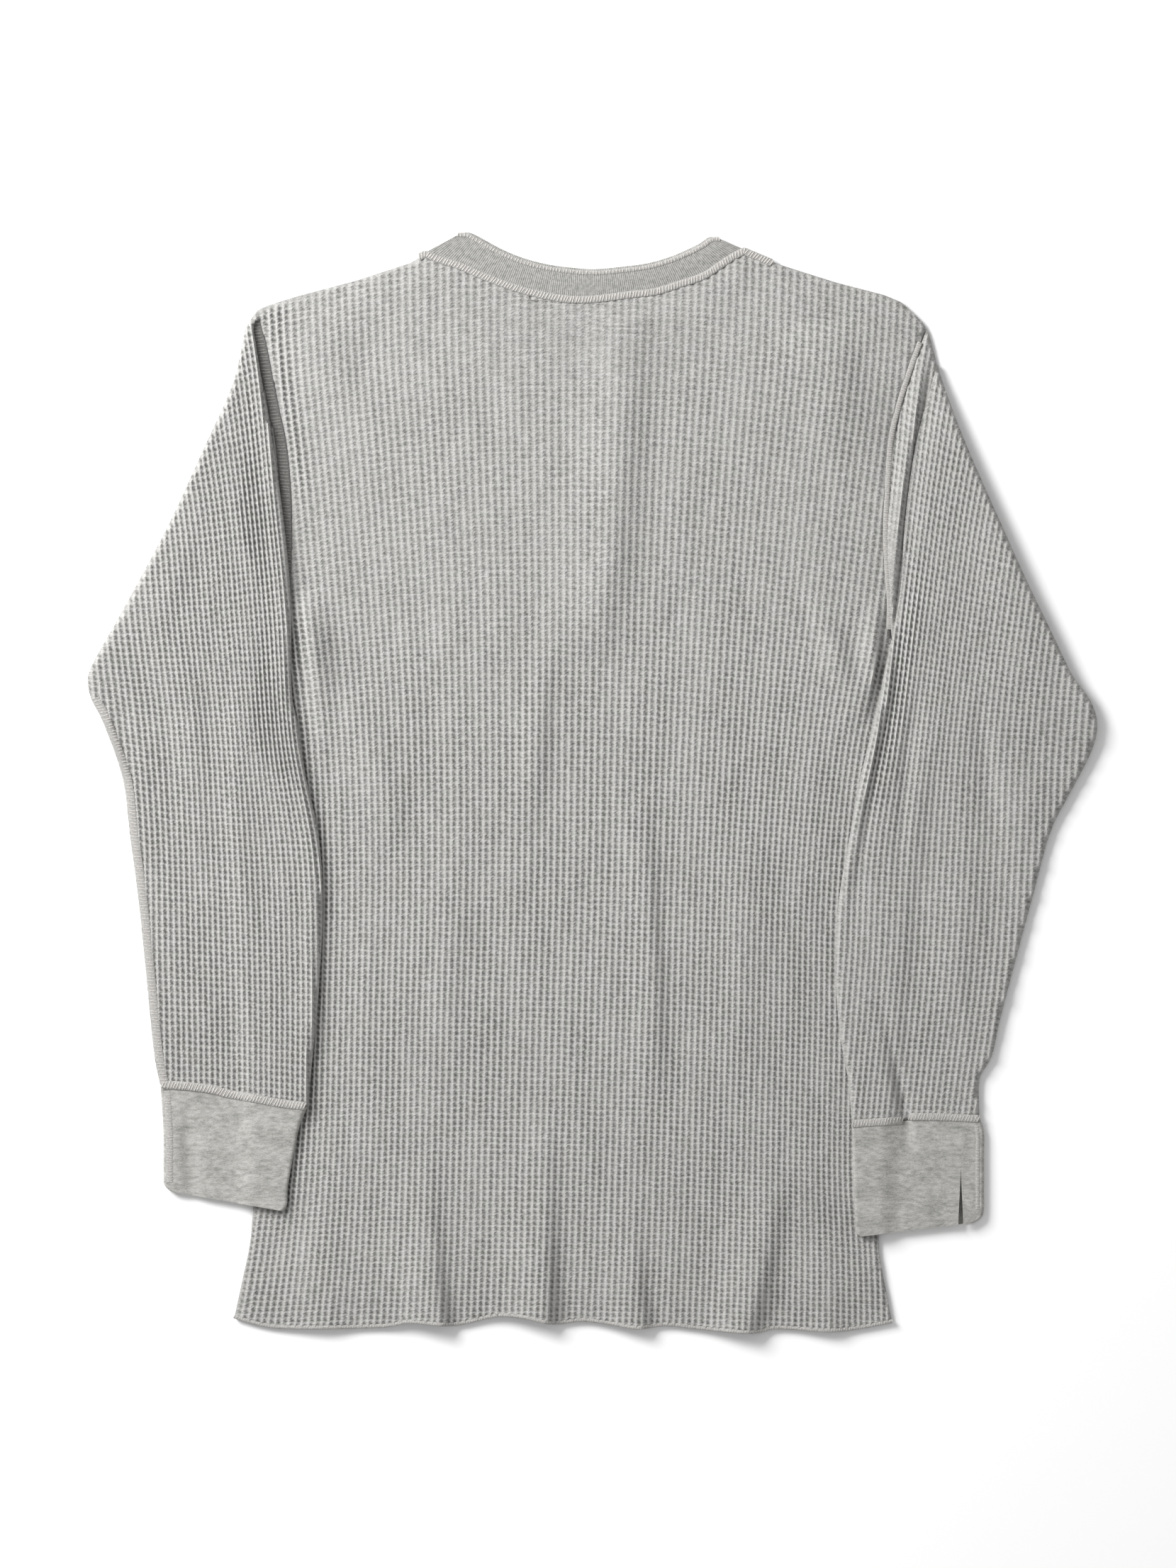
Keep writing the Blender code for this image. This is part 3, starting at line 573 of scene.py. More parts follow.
def make_wall(sheet, outline, lower, upper, edge_radius, relief_side, plain_share,
              fade=lambda x, y: 1.6, depth_and_shade=lambda x, y: 1.0, open_end=None):
    """Turn a flat sheet into a wall between two heights, rounded at its edge and open at one end if asked."""
    give_two_sides(sheet)
    mesh, points = sheet.data, points_of(sheet)
    level = points[:, 2].copy()
    x, y = points[:, 0], points[:, 1]
    distance = nearest_on(points[:, :2], outline)[1]
    low, high = round_edge(lower(x, y), upper(x, y), distance, edge_radius(x, y))
    rib, course = knit_numbers(sheet)
    # Where the depth factor passes 1, the material paints the pits darker as painted shade, and the relief
    # grows up to DEEPEST.
    inside = ease((distance + 0.4) / fade(x, y)) * depth_and_shade(x, y)
    relief = mix(PIT, CREST, waffle(rib, course)) * np.minimum(inside, DEEPEST)
    mesh.attributes.new("inside", "FLOAT", "POINT").data.foreach_set("value", inside)
    if relief_side == "upper":
        high = high + np.where(level == 1, relief, 0.0)
    else:
        low = low + np.where(level == 0, CREST - relief, 0.0)
    points[:, 2] = mix(low, high, level)
    move_points(sheet, points)
    if open_end is not None:
        near = distance_from(open_end, points[:, :2]) < OPEN_END
        in_a_side = whole_faces(mesh, level == 0) | whole_faces(mesh, level == 1)
        edit_faces(sheet, whole_faces(mesh, near) & ~in_a_side)
        bpy.ops.mesh.delete(type="FACE")
        bpy.ops.object.mode_set(mode="OBJECT")
    if plain_share < 1:
        plain = (level == (0 if relief_side == "upper" else 1)) & (distance > PLAIN_FROM)
        edit_faces(sheet, whole_faces(mesh, plain))
        bpy.ops.mesh.decimate(ratio=plain_share)
        bpy.ops.object.mode_set(mode="OBJECT")
    to_frame(sheet)
    select_only(sheet)
    bpy.ops.object.shade_smooth_by_angle(angle=SHARP)
    mesh.calc_loop_triangles()
    print(sheet.name, len(mesh.loop_triangles), "triangles")


print("a side may draw in by %.1f mm at its edge" % DRAWN_IN)

# %% [markdown]
# ## The body panels
#
# The back shows all over. The front lies under it, flat on the surface, with its knit on the underside. Both
# are cut to the same sides, shoulders and hem, and only the neckline differs: it dips far lower in front.

# %% Back and front
WAIST_DEPTH, CHEST_DEPTH = 1.28, 0.95       # depth of the pits, 1 for the knit's own
NECK_FLATTENS = 0.42                        # share of it that the pull of the neck takes away
ARMHOLE_PAINTED_SHADE, PAINTED_SHADE_BY_SLEEVES = 1.4, 2.2      # painted shade added to the pits along the left armhole, and beside the sleeves and at the underarms


def body_outline(neck):
    """Hem, right side and shoulder, a neckline, left shoulder and side, as one closed outline."""
    right = right_curve[:, ::-1]
    left = left_curve[::-1, ::-1]
    return np.vstack([hem_curve, right[1:], np.array(RIGHT_SHOULDER)[::-1][1:], neck[::-1][1:],
                      np.array(LEFT_SHOULDER)[::-1][1:], left[1:-1]])


def back_top(x, y):
    """Top of the back before its waffle."""
    return BODY_TOP + back_lift(x, y)


def back_depth_and_shade(x, y):
    """How deep and how dark the pits of the back are: pulled flat round the neck, and darkened with painted
    shade along the left armhole, beside the sleeves and at the underarms, where they also grow a little
    deeper.
    """
    neck = bell(x + 5, 80) * bell(y - 668, 36)
    # Painted shade: the shadow of the left sleeve's fold along the left armhole.
    armhole = bell(x - np.interp(y, (561, 667), (-198, -212)), 10) * ease((y - 535) / 50)
    beyond = x - inner_edge(LEFT_SLEEVE[3:] + LEFT_CUFF, y)
    # Painted shadow: a strip beside the inner edge of the left sleeve and its cuff.
    sleeve_painted_shadow = bell(beyond, 5.5) * ease((500 - y) / 60) * ease((y - 70) / 30)
    # Painted shade in the dark gaps at the left and the right underarm.
    underarm = bell(x + 196.5, 4) * bell(y - 462, 20)
    right_underarm_painted_shade = bell(x - 188.5, 2.6) * bell(y - 441, 14)
    pulled = mix(WAIST_DEPTH, CHEST_DEPTH, ease((y - 380) / 160)) * (1 - NECK_FLATTENS * neck)
    # The painted shade raises the depth factor, which darkens the pits and deepens their relief a little.
    return pulled + ARMHOLE_PAINTED_SHADE * armhole + PAINTED_SHADE_BY_SLEEVES * (sleeve_painted_shadow + underarm + right_underarm_painted_shade)


def back_fade(x, y):
    """How far in from the edge the relief has grown: slowly along the left armhole."""
    return np.where((x < -185) & (y > 480), 6.5, 1.6)


BODY_RIBS, BODY_COURSES = (-54, 54), (-3, 178)      # the net that both body panels are cut from
back_outline, front_outline = body_outline(back_seam), body_outline(front_seam)
back = knit_sheet("back_cloth", "back", BODY_RIBS, BODY_COURSES, back_outline)
make_wall(back, back_outline, lambda x, y: back_top(x, y) - KNIT, back_top, lambda x, y: CUT_RADIUS,
          "upper", PLAIN_SHARE, back_fade, back_depth_and_shade)
front = knit_sheet("front_cloth", "back", BODY_RIBS, BODY_COURSES, front_outline)
make_wall(front, front_outline, lambda x, y: 0.0 * x, lambda x, y: KNIT + 0.0 * x, lambda x, y: CUT_RADIUS,
          "lower", PLAIN_SHARE)

# %% [markdown]
# ## The sleeves
#
# Each sleeve leaves its armhole, turns over at a fold from the shoulder to the elbow and comes back over the
# side of the body. So there are two lower layers, which end at the armhole, and two upper layers that
# go on down to the cuff. Both stacks are made with the same steps, one lying on the other.

# %% Heights of a sleeve
UNDERARM = 440          # height where the lower layers of a sleeve end
THINNEST = 2.4          # the upper layers together are at least so thick, where they have room


class Sleeve:
    """The smooth curves of a sleeve or cuff, and the heights of its layers."""

    def __init__(self, table, sign, tip=0):
        self.rows = curve_through(table, 4)
        self.sign = sign
        self.tip = tip          # rows at the top where only the lower layers show
        top_down = self.rows[::-1]
        self.outer = lambda y: np.interp(y, top_down[:, 1], top_down[:, 0])
        self.inner = lambda y: np.interp(y, top_down[:, 3], top_down[:, 2])
        self.folded = lambda y: np.interp(y, top_down[:, 3], top_down[:, 4])
        self.height = lambda y: np.interp(y, top_down[:, 3], top_down[:, 5])

    def across(self, x, y):
        """Distance in from the outer edge, width of the sleeve, and distance to the body's edge."""
        outer, inner = self.outer(y), self.inner(y)
        inward = np.sign((x - outer) * (inner - outer))
        return np.abs(x - outer) * inward, np.abs(inner - outer), np.abs(side_of(self.sign, y) - outer)

    def top(self, x, y):
        """Top of the upper layers: from the fold on the surface to the height over the body."""
        distance, width, body = self.across(x, y)
        t = np.clip(distance / np.maximum(width, 1), 0, 1)
        over = SLEEVE_OVER + TWO_LAYERS
        on_surface = mix(self.height(y), over, ease((distance - body + 14) / 14))
        smooth = mix(on_surface, mix(self.height(y), over, t), self.folded(y))
        return smooth + ease(t * 20) * ease((1 - t) * 30) * fold_rise(SLEEVE_FOLDS, x, y)

    def under(self, x, y):
        """Underside of the upper layers: on the surface, over the body, or over the lower layers."""
        distance, _, body = self.across(x, y)
        on_body = SLEEVE_OVER * ease((distance - body + 8) / 6)
        on_lower = SLEEVE_OVER * ease((distance - 4) / 6)
        layer = mix(on_body, np.maximum(on_body, on_lower), self.folded(y))
        return np.clip(self.top(x, y) - THINNEST, 0, layer)

    def edge_radius(self, x, y):
        """How far in from its edges the cloth is rounded, which is less near the cuff."""
        at_fold = np.abs(x - self.outer(y)) < np.abs(x - self.inner(y))
        fold_radius, inner_radius = (2.0, 1.6) if self.sign < 0 else (1.2, 3.0)
        from_cuff = ease(distance_from(self.end(), np.column_stack([x, y])) / 12)
        return np.where(at_fold, fold_radius, inner_radius) * mix(0.3, 1.0, from_cuff)

    def end(self):
        """The line of the cuff seam."""
        return self.rows[-1, :2], self.rows[-1, 2:4]

    def outline(self):
        """Down the outer edge of the upper layers and up their inner edge."""
        rows = self.rows[self.tip:]
        return np.vstack([rows[:, :2], rows[::-1, 2:4]])

    def lower_outline(self):
        """The lower layers, from just inside the fold to the armhole."""
        top = self.rows[0, 1] - 0.3
        y = np.linspace(top, UNDERARM, 60)
        apart = ease((top - y) / 12)
        inward = 0.1 + 0.5 * apart + 7.4 * ease((self.rows[self.tip, 1] - 4 - y) / 26)
        fold = np.column_stack([self.outer(y) - self.sign * inward, y])
        seam = np.column_stack([side_of(self.sign, y) + self.sign * mix(0.2, 0.9, apart), y])
        wide = (fold[:, 0] - seam[:, 0]) * self.sign > 0.4
        return np.vstack([fold[wide], seam[wide][::-1]])


left_sleeve, right_sleeve = Sleeve(LEFT_SLEEVE, -1), Sleeve(RIGHT_SLEEVE, 1, 8)
print("left sleeve is %.0f mm wide at the elbow" % (left_sleeve.across(0.0, 436.0)[1]))

# %% Cloth of the sleeves
RIDGE_PAINTED_SHADE = 1.2       # how much darker the pits are painted beside the ridge of the right sleeve, as its painted shadow; they also grow a little deeper


def ridge_painted_shadow(x, y):
    """Where the right sleeve sinks beside the ridge at its inner edge, in the ridge's shadow, which is
    painted into the pits there.
    """
    return bell(x - right_sleeve.inner(y) - 11, 7) * ease((525 - y) / 50) * ease((y - 330) / 60)


sleeve_parts = {}
# The last number of each row deepens the pits at the shoulder; on the left it also darkens them as painted
# shade of the shoulder's fold.
for side, shape, ribs, courses, arm_depth, shoulder_depth_and_shade in (
        ("left", left_sleeve, (-30, 22), (-4, 124), 1.5, 1.65),
        ("right", right_sleeve, (-32, 24), (-8, 134), 1.15, 1.17)):

    def upper_fade(x, y):
        """The relief grows in slowly along the inner edge of the right sleeve."""
        return np.where((x > 0) & (np.abs(x - shape.inner(y)) < 9), 3.6, 1.0)

    def upper_depth_and_shade(x, y):
        """How deep and how dark the pits are: deeper at the shoulder, darker there on the left as painted
        shade of the shoulder's fold, and darker beside the ridge as its painted shadow.
        """
        return mix(arm_depth, shoulder_depth_and_shade, ease((y - 480) / 130)) + RIDGE_PAINTED_SHADE * ridge_painted_shadow(x, y)

    def lower_top(x, y):
        """Top of the lower layers, with the rolled seam beside the right sleeve."""
        return mix(KNIT, BODY_TOP, shape.folded(y)) + fold_rise(LOWER_FOLDS, x, y)

    def lower_fade(x, y):
        """The rolled seam of the right sleeve is smooth."""
        return np.where(x > 0, 1.6 + 10 * ease(fold_rise(LOWER_FOLDS, x, y) / 4), 1.6)

    outline = shape.outline()
    upper = knit_sheet("sleeve_%s_cloth" % side, side, ribs, courses, outline)
    make_wall(upper, outline, shape.under, shape.top, shape.edge_radius, "upper", 1,
              upper_fade, upper_depth_and_shade, shape.end())
    outline = shape.lower_outline()
    lower = knit_sheet("sleeve_%s_lower_layers" % side, side, ribs, courses, outline)
    make_wall(lower, outline, lambda x, y: 0.0 * x, lower_top, lambda x, y: CUT_RADIUS,
              "upper", 1, lower_fade)
    sleeve_parts[side] = (upper, lower)

# %% [markdown]
# ## Lofting tubes and bands
#
# A cuff is a flattened tube, and a neckband or a line of thread is a long bar with a small section. All of
# them are a loft: rings of points, one after the other, joined by faces. A grid primitive already has the
# faces, so it is bent until its rows are the rings. Its first and last column are merged where they meet.

# %% The loft


def loft(name, rings, map_points, close_ends):
    """A tube through an array of rings, with a map of rib and course numbers, in garment millimetres."""
    count, around = rings.shape[0], rings.shape[1] - 1
    select_only(None)
    bpy.ops.mesh.primitive_grid_add(x_subdivisions=around, y_subdivisions=count - 1, size=1)
    tube = bpy.context.object
    tube.name = tube.data.name = name
    points = points_of(tube)
    column = np.round((points[:, 0] + 0.5) * around).astype(int)
    row = np.round((points[:, 1] + 0.5) * (count - 1)).astype(int)
    layer = tube.data.uv_layers.active
    layer.name = "knit"
    layer.data.foreach_set("uv", map_points[row, column][corner_verts(tube.data)].ravel())
    move_points(tube, rings[row, column])
    bpy.context.tool_settings.mesh_select_mode = (True, False, False)
    bpy.ops.object.mode_set(mode="EDIT")
    bpy.ops.mesh.select_all(action="SELECT")
    bpy.ops.mesh.remove_doubles(threshold=0.001)
    if close_ends:
        bpy.ops.mesh.fill_holes(sides=0)
    bpy.ops.mesh.select_all(action="SELECT")
    bpy.ops.mesh.normals_make_consistent(inside=False)
    bpy.ops.object.mode_set(mode="OBJECT")
    return tube


def finish_loft(tube, angle=60):
    """Bring a loft into the frame and smooth it, apart from edges sharper than an angle in degrees."""
    to_frame(tube)
    select_only(tube)
    bpy.ops.object.shade_smooth_by_angle(angle=math.radians(angle))
    tube.data.calc_loop_triangles()
    print(tube.name, len(tube.data.loop_triangles), "triangles")
    return tube


def walk(line, step):
    """Even places along a line of points, the way along, the way to its left, and how far each is."""
    line = np.array(line, float)
    length = np.concatenate([[0], np.cumsum(np.linalg.norm(np.diff(line, axis=0), axis=1))])
    count = max(2, int(round(length[-1] / step)) + 1)
    at = np.linspace(0, length[-1], count)
    places = np.column_stack([np.interp(at, length, line[:, 0]), np.interp(at, length, line[:, 1])])
    along = np.gradient(places, axis=0)
    along /= np.linalg.norm(along, axis=1)[:, None]
    return places, along, np.column_stack([-along[:, 1], along[:, 0]]), at


print("the left armhole is %.0f mm long" % walk(left_curve[left_curve[:, 0] > UNDERARM], 1.0)[3][-1])

# %% [markdown]
# ## Cuffs
#
# The cuffs are smooth brushed jersey, cut double. Each is a real tube with a wall, so the opening at the
# wrist shows two layers. Solidify gives it the thickness, inwards. The right cuff has a short slit in its
# upper layer. The rings of a cuff start at the slit, and below its top their two ends don't meet.

# %% Cuffs
SLIT_X, SLIT_TOP, SLIT_WIDTH = 243.5, 114, 3.6      # its place, its upper end, and how wide it opens
LEFT_START_X = -243     # where the rings of the left cuff start, away from its edges
CUFF_WALL = 1.3         # thickness of the doubled jersey
CUFF_RADIUS = 2.2       # how far in from its folds a cuff is rounded
AROUND = 140            # points in one ring
LIP = 9                 # points on each side of the slit that move apart
UNDERSIDE_AT = 200      # the map puts the lower layer so far from the upper one


def cuff(name, table, shape, start_x):
    """A flattened tube whose rings start at one place across its upper layer."""
    rows = curve_through(table, 8)
    foot = rows[-1, 1]
    step = np.arange(AROUND + 1)
    rings, numbers = [], []
    for outer_x, outer_y, inner_x, inner_y, _, _ in rows:
        width = inner_x - outer_x
        start = math.acos(1 - 2 * (start_x - outer_x) / width)
        angle = start + 2 * math.pi * step / AROUND
        share = 0.5 - 0.5 * np.cos(angle)
        x, y = mix(outer_x, inner_x, share), mix(outer_y, inner_y, share)
        from_edge = np.minimum(share, 1 - share) * abs(width)
        roundness = np.sqrt(np.clip(1 - (1 - np.minimum(from_edge / CUFF_RADIUS, 1)) ** 2, 0, 1))
        high, low = shape.top(x, y), np.maximum(0.02, shape.under(x, y))
        z = (high + low) / 2 + (high - low) / 2 * roundness * np.sign(np.sin(angle) + 1e-9)
        if shape.sign > 0:
            opening = SLIT_WIDTH / 2 * ease((SLIT_TOP - outer_y) / (SLIT_TOP - foot) * 0.9)
            lip = opening * np.clip(1 - np.minimum(step, AROUND - step) / LIP, 0, 1)
            x = x - np.where(step < AROUND / 2, lip, -lip)
            z = z + 0.5 * lip
        rings.append(np.column_stack([x, y, z]))
        numbers.append(np.column_stack([share * abs(width) + UNDERSIDE_AT * (np.sin(angle) < 0), y]))
    return loft(name, np.array(rings), np.array(numbers), False)


left_cuff, right_cuff = Sleeve(LEFT_CUFF, -1), Sleeve(RIGHT_CUFF, 1)
cuffs = {}
for side, table, shape, start_x in (("left", LEFT_CUFF, left_cuff, LEFT_START_X),
                                    ("right", RIGHT_CUFF, right_cuff, SLIT_X)):
    tube = cuff("cuff_%s_cloth" % side, table, shape, start_x)
    solidify = tube.modifiers.new("wall", "SOLIDIFY")
    solidify.thickness, solidify.offset = CUFF_WALL, -1
    select_only(tube)
    bpy.ops.object.modifier_apply(modifier="wall")
    cuffs[side] = finish_loft(tube)

# %% [markdown]
# ## The neckband
#
# The neckband is one strip of fine rib, folded double and sewn round the neck. Its ribs are only 1.3 mm
# apart and lean a little. They are real ridges here: every second ring of the loft stands out.

# %% Neckband
BAND_RIB = 1.3          # from one rib to the next
BAND_LEAN = 1.1         # ribs that a rib leans over across the band
BAND_RIDGE = 0.12       # how far a rib stands out
BAND_COURSES = 16       # courses across the band
ROUND_FROM = 0.93       # share of its width from which its free edge is rounded


def neckband(name, table, underside, seam_shift, thicknesses):
    """A band between its seam and its free edge, as thick as given at the edge, half-way and at the seam."""
    rows = curve_through(table, 8)
    seam_line, edge_line = rows[:, :2] + (0, seam_shift), rows[:, 2:]
    half = (seam_line + edge_line) / 2
    at = walk(half, BAND_RIB / 2)[3]
    share = np.linspace(0, 1, len(rows))
    length = np.concatenate([[0], np.cumsum(np.linalg.norm(np.diff(half, axis=0), axis=1))])
    where = np.interp(at, length, share)
    seam = np.column_stack([np.interp(where, share, seam_line[:, axis]) for axis in (0, 1)])
    edge = np.column_stack([np.interp(where, share, edge_line[:, axis]) for axis in (0, 1)])
    edge_thick, half_thick, seam_thick = thicknesses
    across = np.array([0.0, 0.25, 0.5, 0.75, 0.93, 0.985, 1.0, 0.985, 0.93, 0.8, 0.66, 0.5, 0.35, 0.2, 0.0])
    upper = np.arange(len(across)) > np.argmax(across)
    thick = np.interp(across, (0, 0.5, 1), (seam_thick, half_thick, edge_thick))
    rounding = (across - ROUND_FROM).clip(0) / (1 - ROUND_FROM)
    round_off = np.sqrt(np.clip(1 - rounding ** 2, 0, 1))
    height = np.where(upper, thick * (0.5 + 0.5 * round_off), thick * (0.5 - 0.5 * round_off))
    across, upper, height = np.append(across, 0.0), np.append(upper, False), np.append(height, height[0])
    rings = np.empty((len(at), len(across), 3))
    rings[:, :, :2] = seam[:, None] + (edge - seam)[:, None] * across[None, :, None]
    phase = np.arange(len(at))[:, None] / 2 + BAND_LEAN * across[None, :]
    ridge = BAND_RIDGE * np.cos(2 * math.pi * phase) * ease(across * 6) * upper
    rings[:, :, 2] = underside + height[None, :] + ridge - 0.1 * upper
    numbers = np.dstack([phase, np.broadcast_to(across * BAND_COURSES, phase.shape)])
    return finish_loft(loft(name, rings, numbers, True))


bands = {
    "back": neckband("neckband_back_rib", BACK_BAND, KNIT + SEAM_GAP + 0.1, 3 * SEAM_GAP,
                     (RIB_KNIT, RIB_KNIT * 1.25, RIB_KNIT * 0.85)),
    "front": neckband("neckband_front_rib", FRONT_BAND, 0.0, 0.0, (KNIT, KNIT, KNIT)),
}

# %% [markdown]
# ## Sewing
#
# The seams are flatlock: a band of thread lies over both edges, with slanting stitches across it. One
# stitch is modelled once, as a small rounded rod, and its mesh is repeated along every seam. Joined meshes
# keep the number of objects small, and each rod has only a few dozen faces.

# %% One stitch, repeated
select_only(None)
bpy.ops.mesh.primitive_uv_sphere_add(segments=6, ring_count=5, radius=0.5)
rod = bpy.context.object
bpy.ops.object.mode_set(mode="EDIT")
bpy.ops.mesh.select_all(action="SELECT")
bpy.ops.transform.rotate(value=math.pi / 2, orient_axis="Y", center_override=(0, 0, 0))
bpy.ops.object.mode_set(mode="OBJECT")
rod_points = points_of(rod)
rod_faces = [tuple(face.vertices) for face in rod.data.polygons]
bpy.data.objects.remove(rod)
print("one stitch has %d points" % len(rod_points))

# %% Sewing with it
SEAM_SECTION = np.array([       # of a seam's band: shares of its width, and heights
    (-0.5, -0.9), (0.5, -0.9), (0.5, -0.2), (0.36, 0.16),
    (0, 0.26), (-0.36, 0.16), (-0.5, -0.2), (-0.5, -0.9)])
threads, seam_bands = [], []


def sew(name, centres, ways, lengths, thick):
    """Rods of thread at their centres, each along its way, as one mesh in garment millimetres."""
    count = len(centres)
    ways = ways / np.linalg.norm(ways, axis=1)[:, None]
    sideways = np.column_stack([-ways[:, 1], ways[:, 0], np.zeros(count)])
    ups = np.cross(ways, sideways)
    local = np.sign(rod_points[:, 0]) * np.abs(2 * rod_points[:, 0]) ** 0.6 / 2
    shape = (local[None, :, None] * (lengths * ways.T).T[:, None]
             + rod_points[None, :, 1, None] * thick * sideways[:, None]
             + rod_points[None, :, 2, None] * thick * ups[:, None])
    points = (shape + centres[:, None]).reshape(-1, 3)
    faces = [tuple(vert + copy * len(rod_points) for vert in face)
             for copy in range(count) for face in rod_faces]
    mesh = bpy.data.meshes.new(name)
    mesh.from_pydata(points.tolist(), [], faces)
    thread = bpy.data.objects.new(name, mesh)
    bpy.context.scene.collection.objects.link(thread)
    threads.append(finish_loft(thread, 180))


def seam(name, line, width, pitch, surface, lean=0.8, thick=0.6, rise=0.35):
    """A flatlock seam along a line: a flat band of cloth with slanting stitches across it, no two alike."""
    places, along, left, _ = walk(line, pitch / 2)
    across, up = SEAM_SECTION[:, 0] * width, SEAM_SECTION[:, 1]
    rings = np.empty((len(places), len(across), 3))
    rings[:, :, :2] = places[:, None] + left[:, None] * across[None, :, None]
    rings[:, :, 2] = surface(rings[:, :, 0], rings[:, :, 1]) + up + rise
    numbers = np.dstack(np.broadcast_arrays(across[None], np.arange(len(places))[:, None] * pitch / 2))
    seam_bands.append(finish_loft(loft(name + "_band", rings, numbers, True)))
    places, along, left, _ = walk(line, pitch)
    count = np.arange(len(places))
    shift = 0.12 * pitch * np.sin(count * 2.3 + np.sin(count * 0.7) * 2)
    swing = lean + 0.16 * np.sin(count * 1.7 + 1.0)
    ways = left * (width * (0.9 + 0.08 * np.sin(count * 1.3)))[:, None] + along * (swing * pitch)[:, None]
    centres = places + along * shift[:, None]
    height = surface(centres[:, 0], centres[:, 1]) + rise + 0.14
    sew(name, np.column_stack([centres, height]), np.column_stack([ways, 0 * count]),
        np.linalg.norm(ways, axis=1) * 1.02, thick)


print("a seam's band is %.2f mm high" % np.ptp(SEAM_SECTION[:, 1]))

# %% Where the seams lie


def back_surface(x, y):
    return back_top(np.asarray(x, float), np.asarray(y, float)) + CREST * 0.6


def level_surface(height):
    return lambda x, y: np.full(np.shape(x), height)


def sleeve_surface(shape):
    return lambda x, y: shape.top(np.asarray(x, float), np.asarray(y, float)) + CREST * 0.4


def beside(edge, other_edge, inward):
    """A line beside an edge, some way in towards the other edge."""
    way = other_edge - edge
    return edge + way / np.linalg.norm(way, axis=1)[:, None] * inward


neck_rows, arm_rows = curve_through(BACK_BAND, 3), curve_through(LEFT_SLEEVE[10:], 3)
left_rows, right_rows = curve_through(LEFT_CUFF, 3), curve_through(RIGHT_CUFF, 3)
print("the back neck seam is %.0f mm long" % walk(neck_rows[:, :2], 1.0)[3][-1])

# %% Seams of the top
seam("neck_seam", np.vstack([[(-116, 715)], neck_rows[:, :2], [(104, 717), (118, 711.2)]]),
     4.8, 2.0, level_surface(BODY_TOP + 0.4), lean=0.7, thick=0.9)
seam("neck_edge", beside(neck_rows[:, 2:], neck_rows[:, :2], 2.8),
     3.0, 2.2, level_surface(KNIT + SEAM_GAP + RIB_KNIT), lean=0.1, thick=0.8)
seam("left_sleeve_seam", beside(arm_rows[:, :2], arm_rows[:, 2:4], 3.4),
     5.4, 2.2, sleeve_surface(left_sleeve), lean=0.5)
seam("left_cuff_side_seam", beside(left_rows[:, :2], left_rows[:, 2:4], 4.2)[1:-4],
     5.0, 1.9, sleeve_surface(left_cuff), lean=0.2, thick=0.5, rise=-0.15)
seam("right_cuff_side_seam", beside(right_rows[:, :2], right_rows[:, 2:4], 4.4)[2:-4],
     3.0, 2.2, sleeve_surface(right_cuff), lean=0.2, thick=0.45, rise=-0.2)
seam("left_cuff_seam", curve_through(
    ((-286.2, 165.6), (-268, 164.2), (-252, 161.9), (-243, 159.4), (-222.3, 155.9), (-208.2, 153.2),
     (-191.8, 151.4)), 4), 5.6, 2.0, sleeve_surface(left_sleeve), thick=0.8)
seam("right_cuff_seam_inner", ((171.6, 139.6), (186, 140.6), (204.9, 141.6)),
     5.2, 2.0, sleeve_surface(right_sleeve))
seam("right_cuff_seam_outer", ((209.6, 144.2), (230, 144), (255, 142.8)),
     5.0, 2.0, sleeve_surface(right_sleeve))
seam("right_armhole_seam", curve_through(
    ((216.4, 658), (212, 646), (206.2, 629), (201.2, 612), (197, 592), (194.6, 555.8), (193.6, 531.8),
     (195, 500.7), (196.2, 485.1), (195.8, 468)), 4),
     3.6, 1.5, back_surface, lean=0.1, thick=0.55, rise=0.02)
seam("left_armhole_seam", curve_through(
    ((-225.5, 672.5), (-220.4, 652), (-213.6, 617), (-207.8, 589.7), (-204.9, 556), (-204.4, 520),
     (-205.5, 490)), 4), 7.2, 2.2, back_surface, lean=0.4, thick=0.7, rise=0.2)
seam("hem_edge", hem_curve + (0, 1.3), 2.4, 1.7, back_surface, lean=0.5, thick=0.45, rise=-0.15)

# %% Small stitches below the neck
# A thin line of stitches shows through below the neck seam, and a thread end stands out at its left end.
for name, line, step, rise, length, thick in (
        ("neck_stitch_line", ((-41.4, 686.4), (-18, 684.2), (5.7, 683.6)), 3.2, -0.05, 2.5, 0.5),
        ("neck_stitch_thread_end", curve_through(
            ((-40, 686), (-42.4, 686.6), (-43.6, 688.2), (-43, 690)), 4), 1.2, 0.5, 1.8, 0.6)):
    places, along, _, _ = walk(line, step)
    height = back_surface(places[:, 0], places[:, 1]) + rise
    sew(name, np.column_stack([places, height]), np.column_stack([along, 0 * height]),
        np.full(len(places), length), thick)

# %% [markdown]
# ## Materials
#
# Shader maths is easier to read as Python than as a web of nodes. A small class wraps one socket, and its
# operators add the Math nodes. Everything else comes from one method that adds any node.

# %% Shader maths


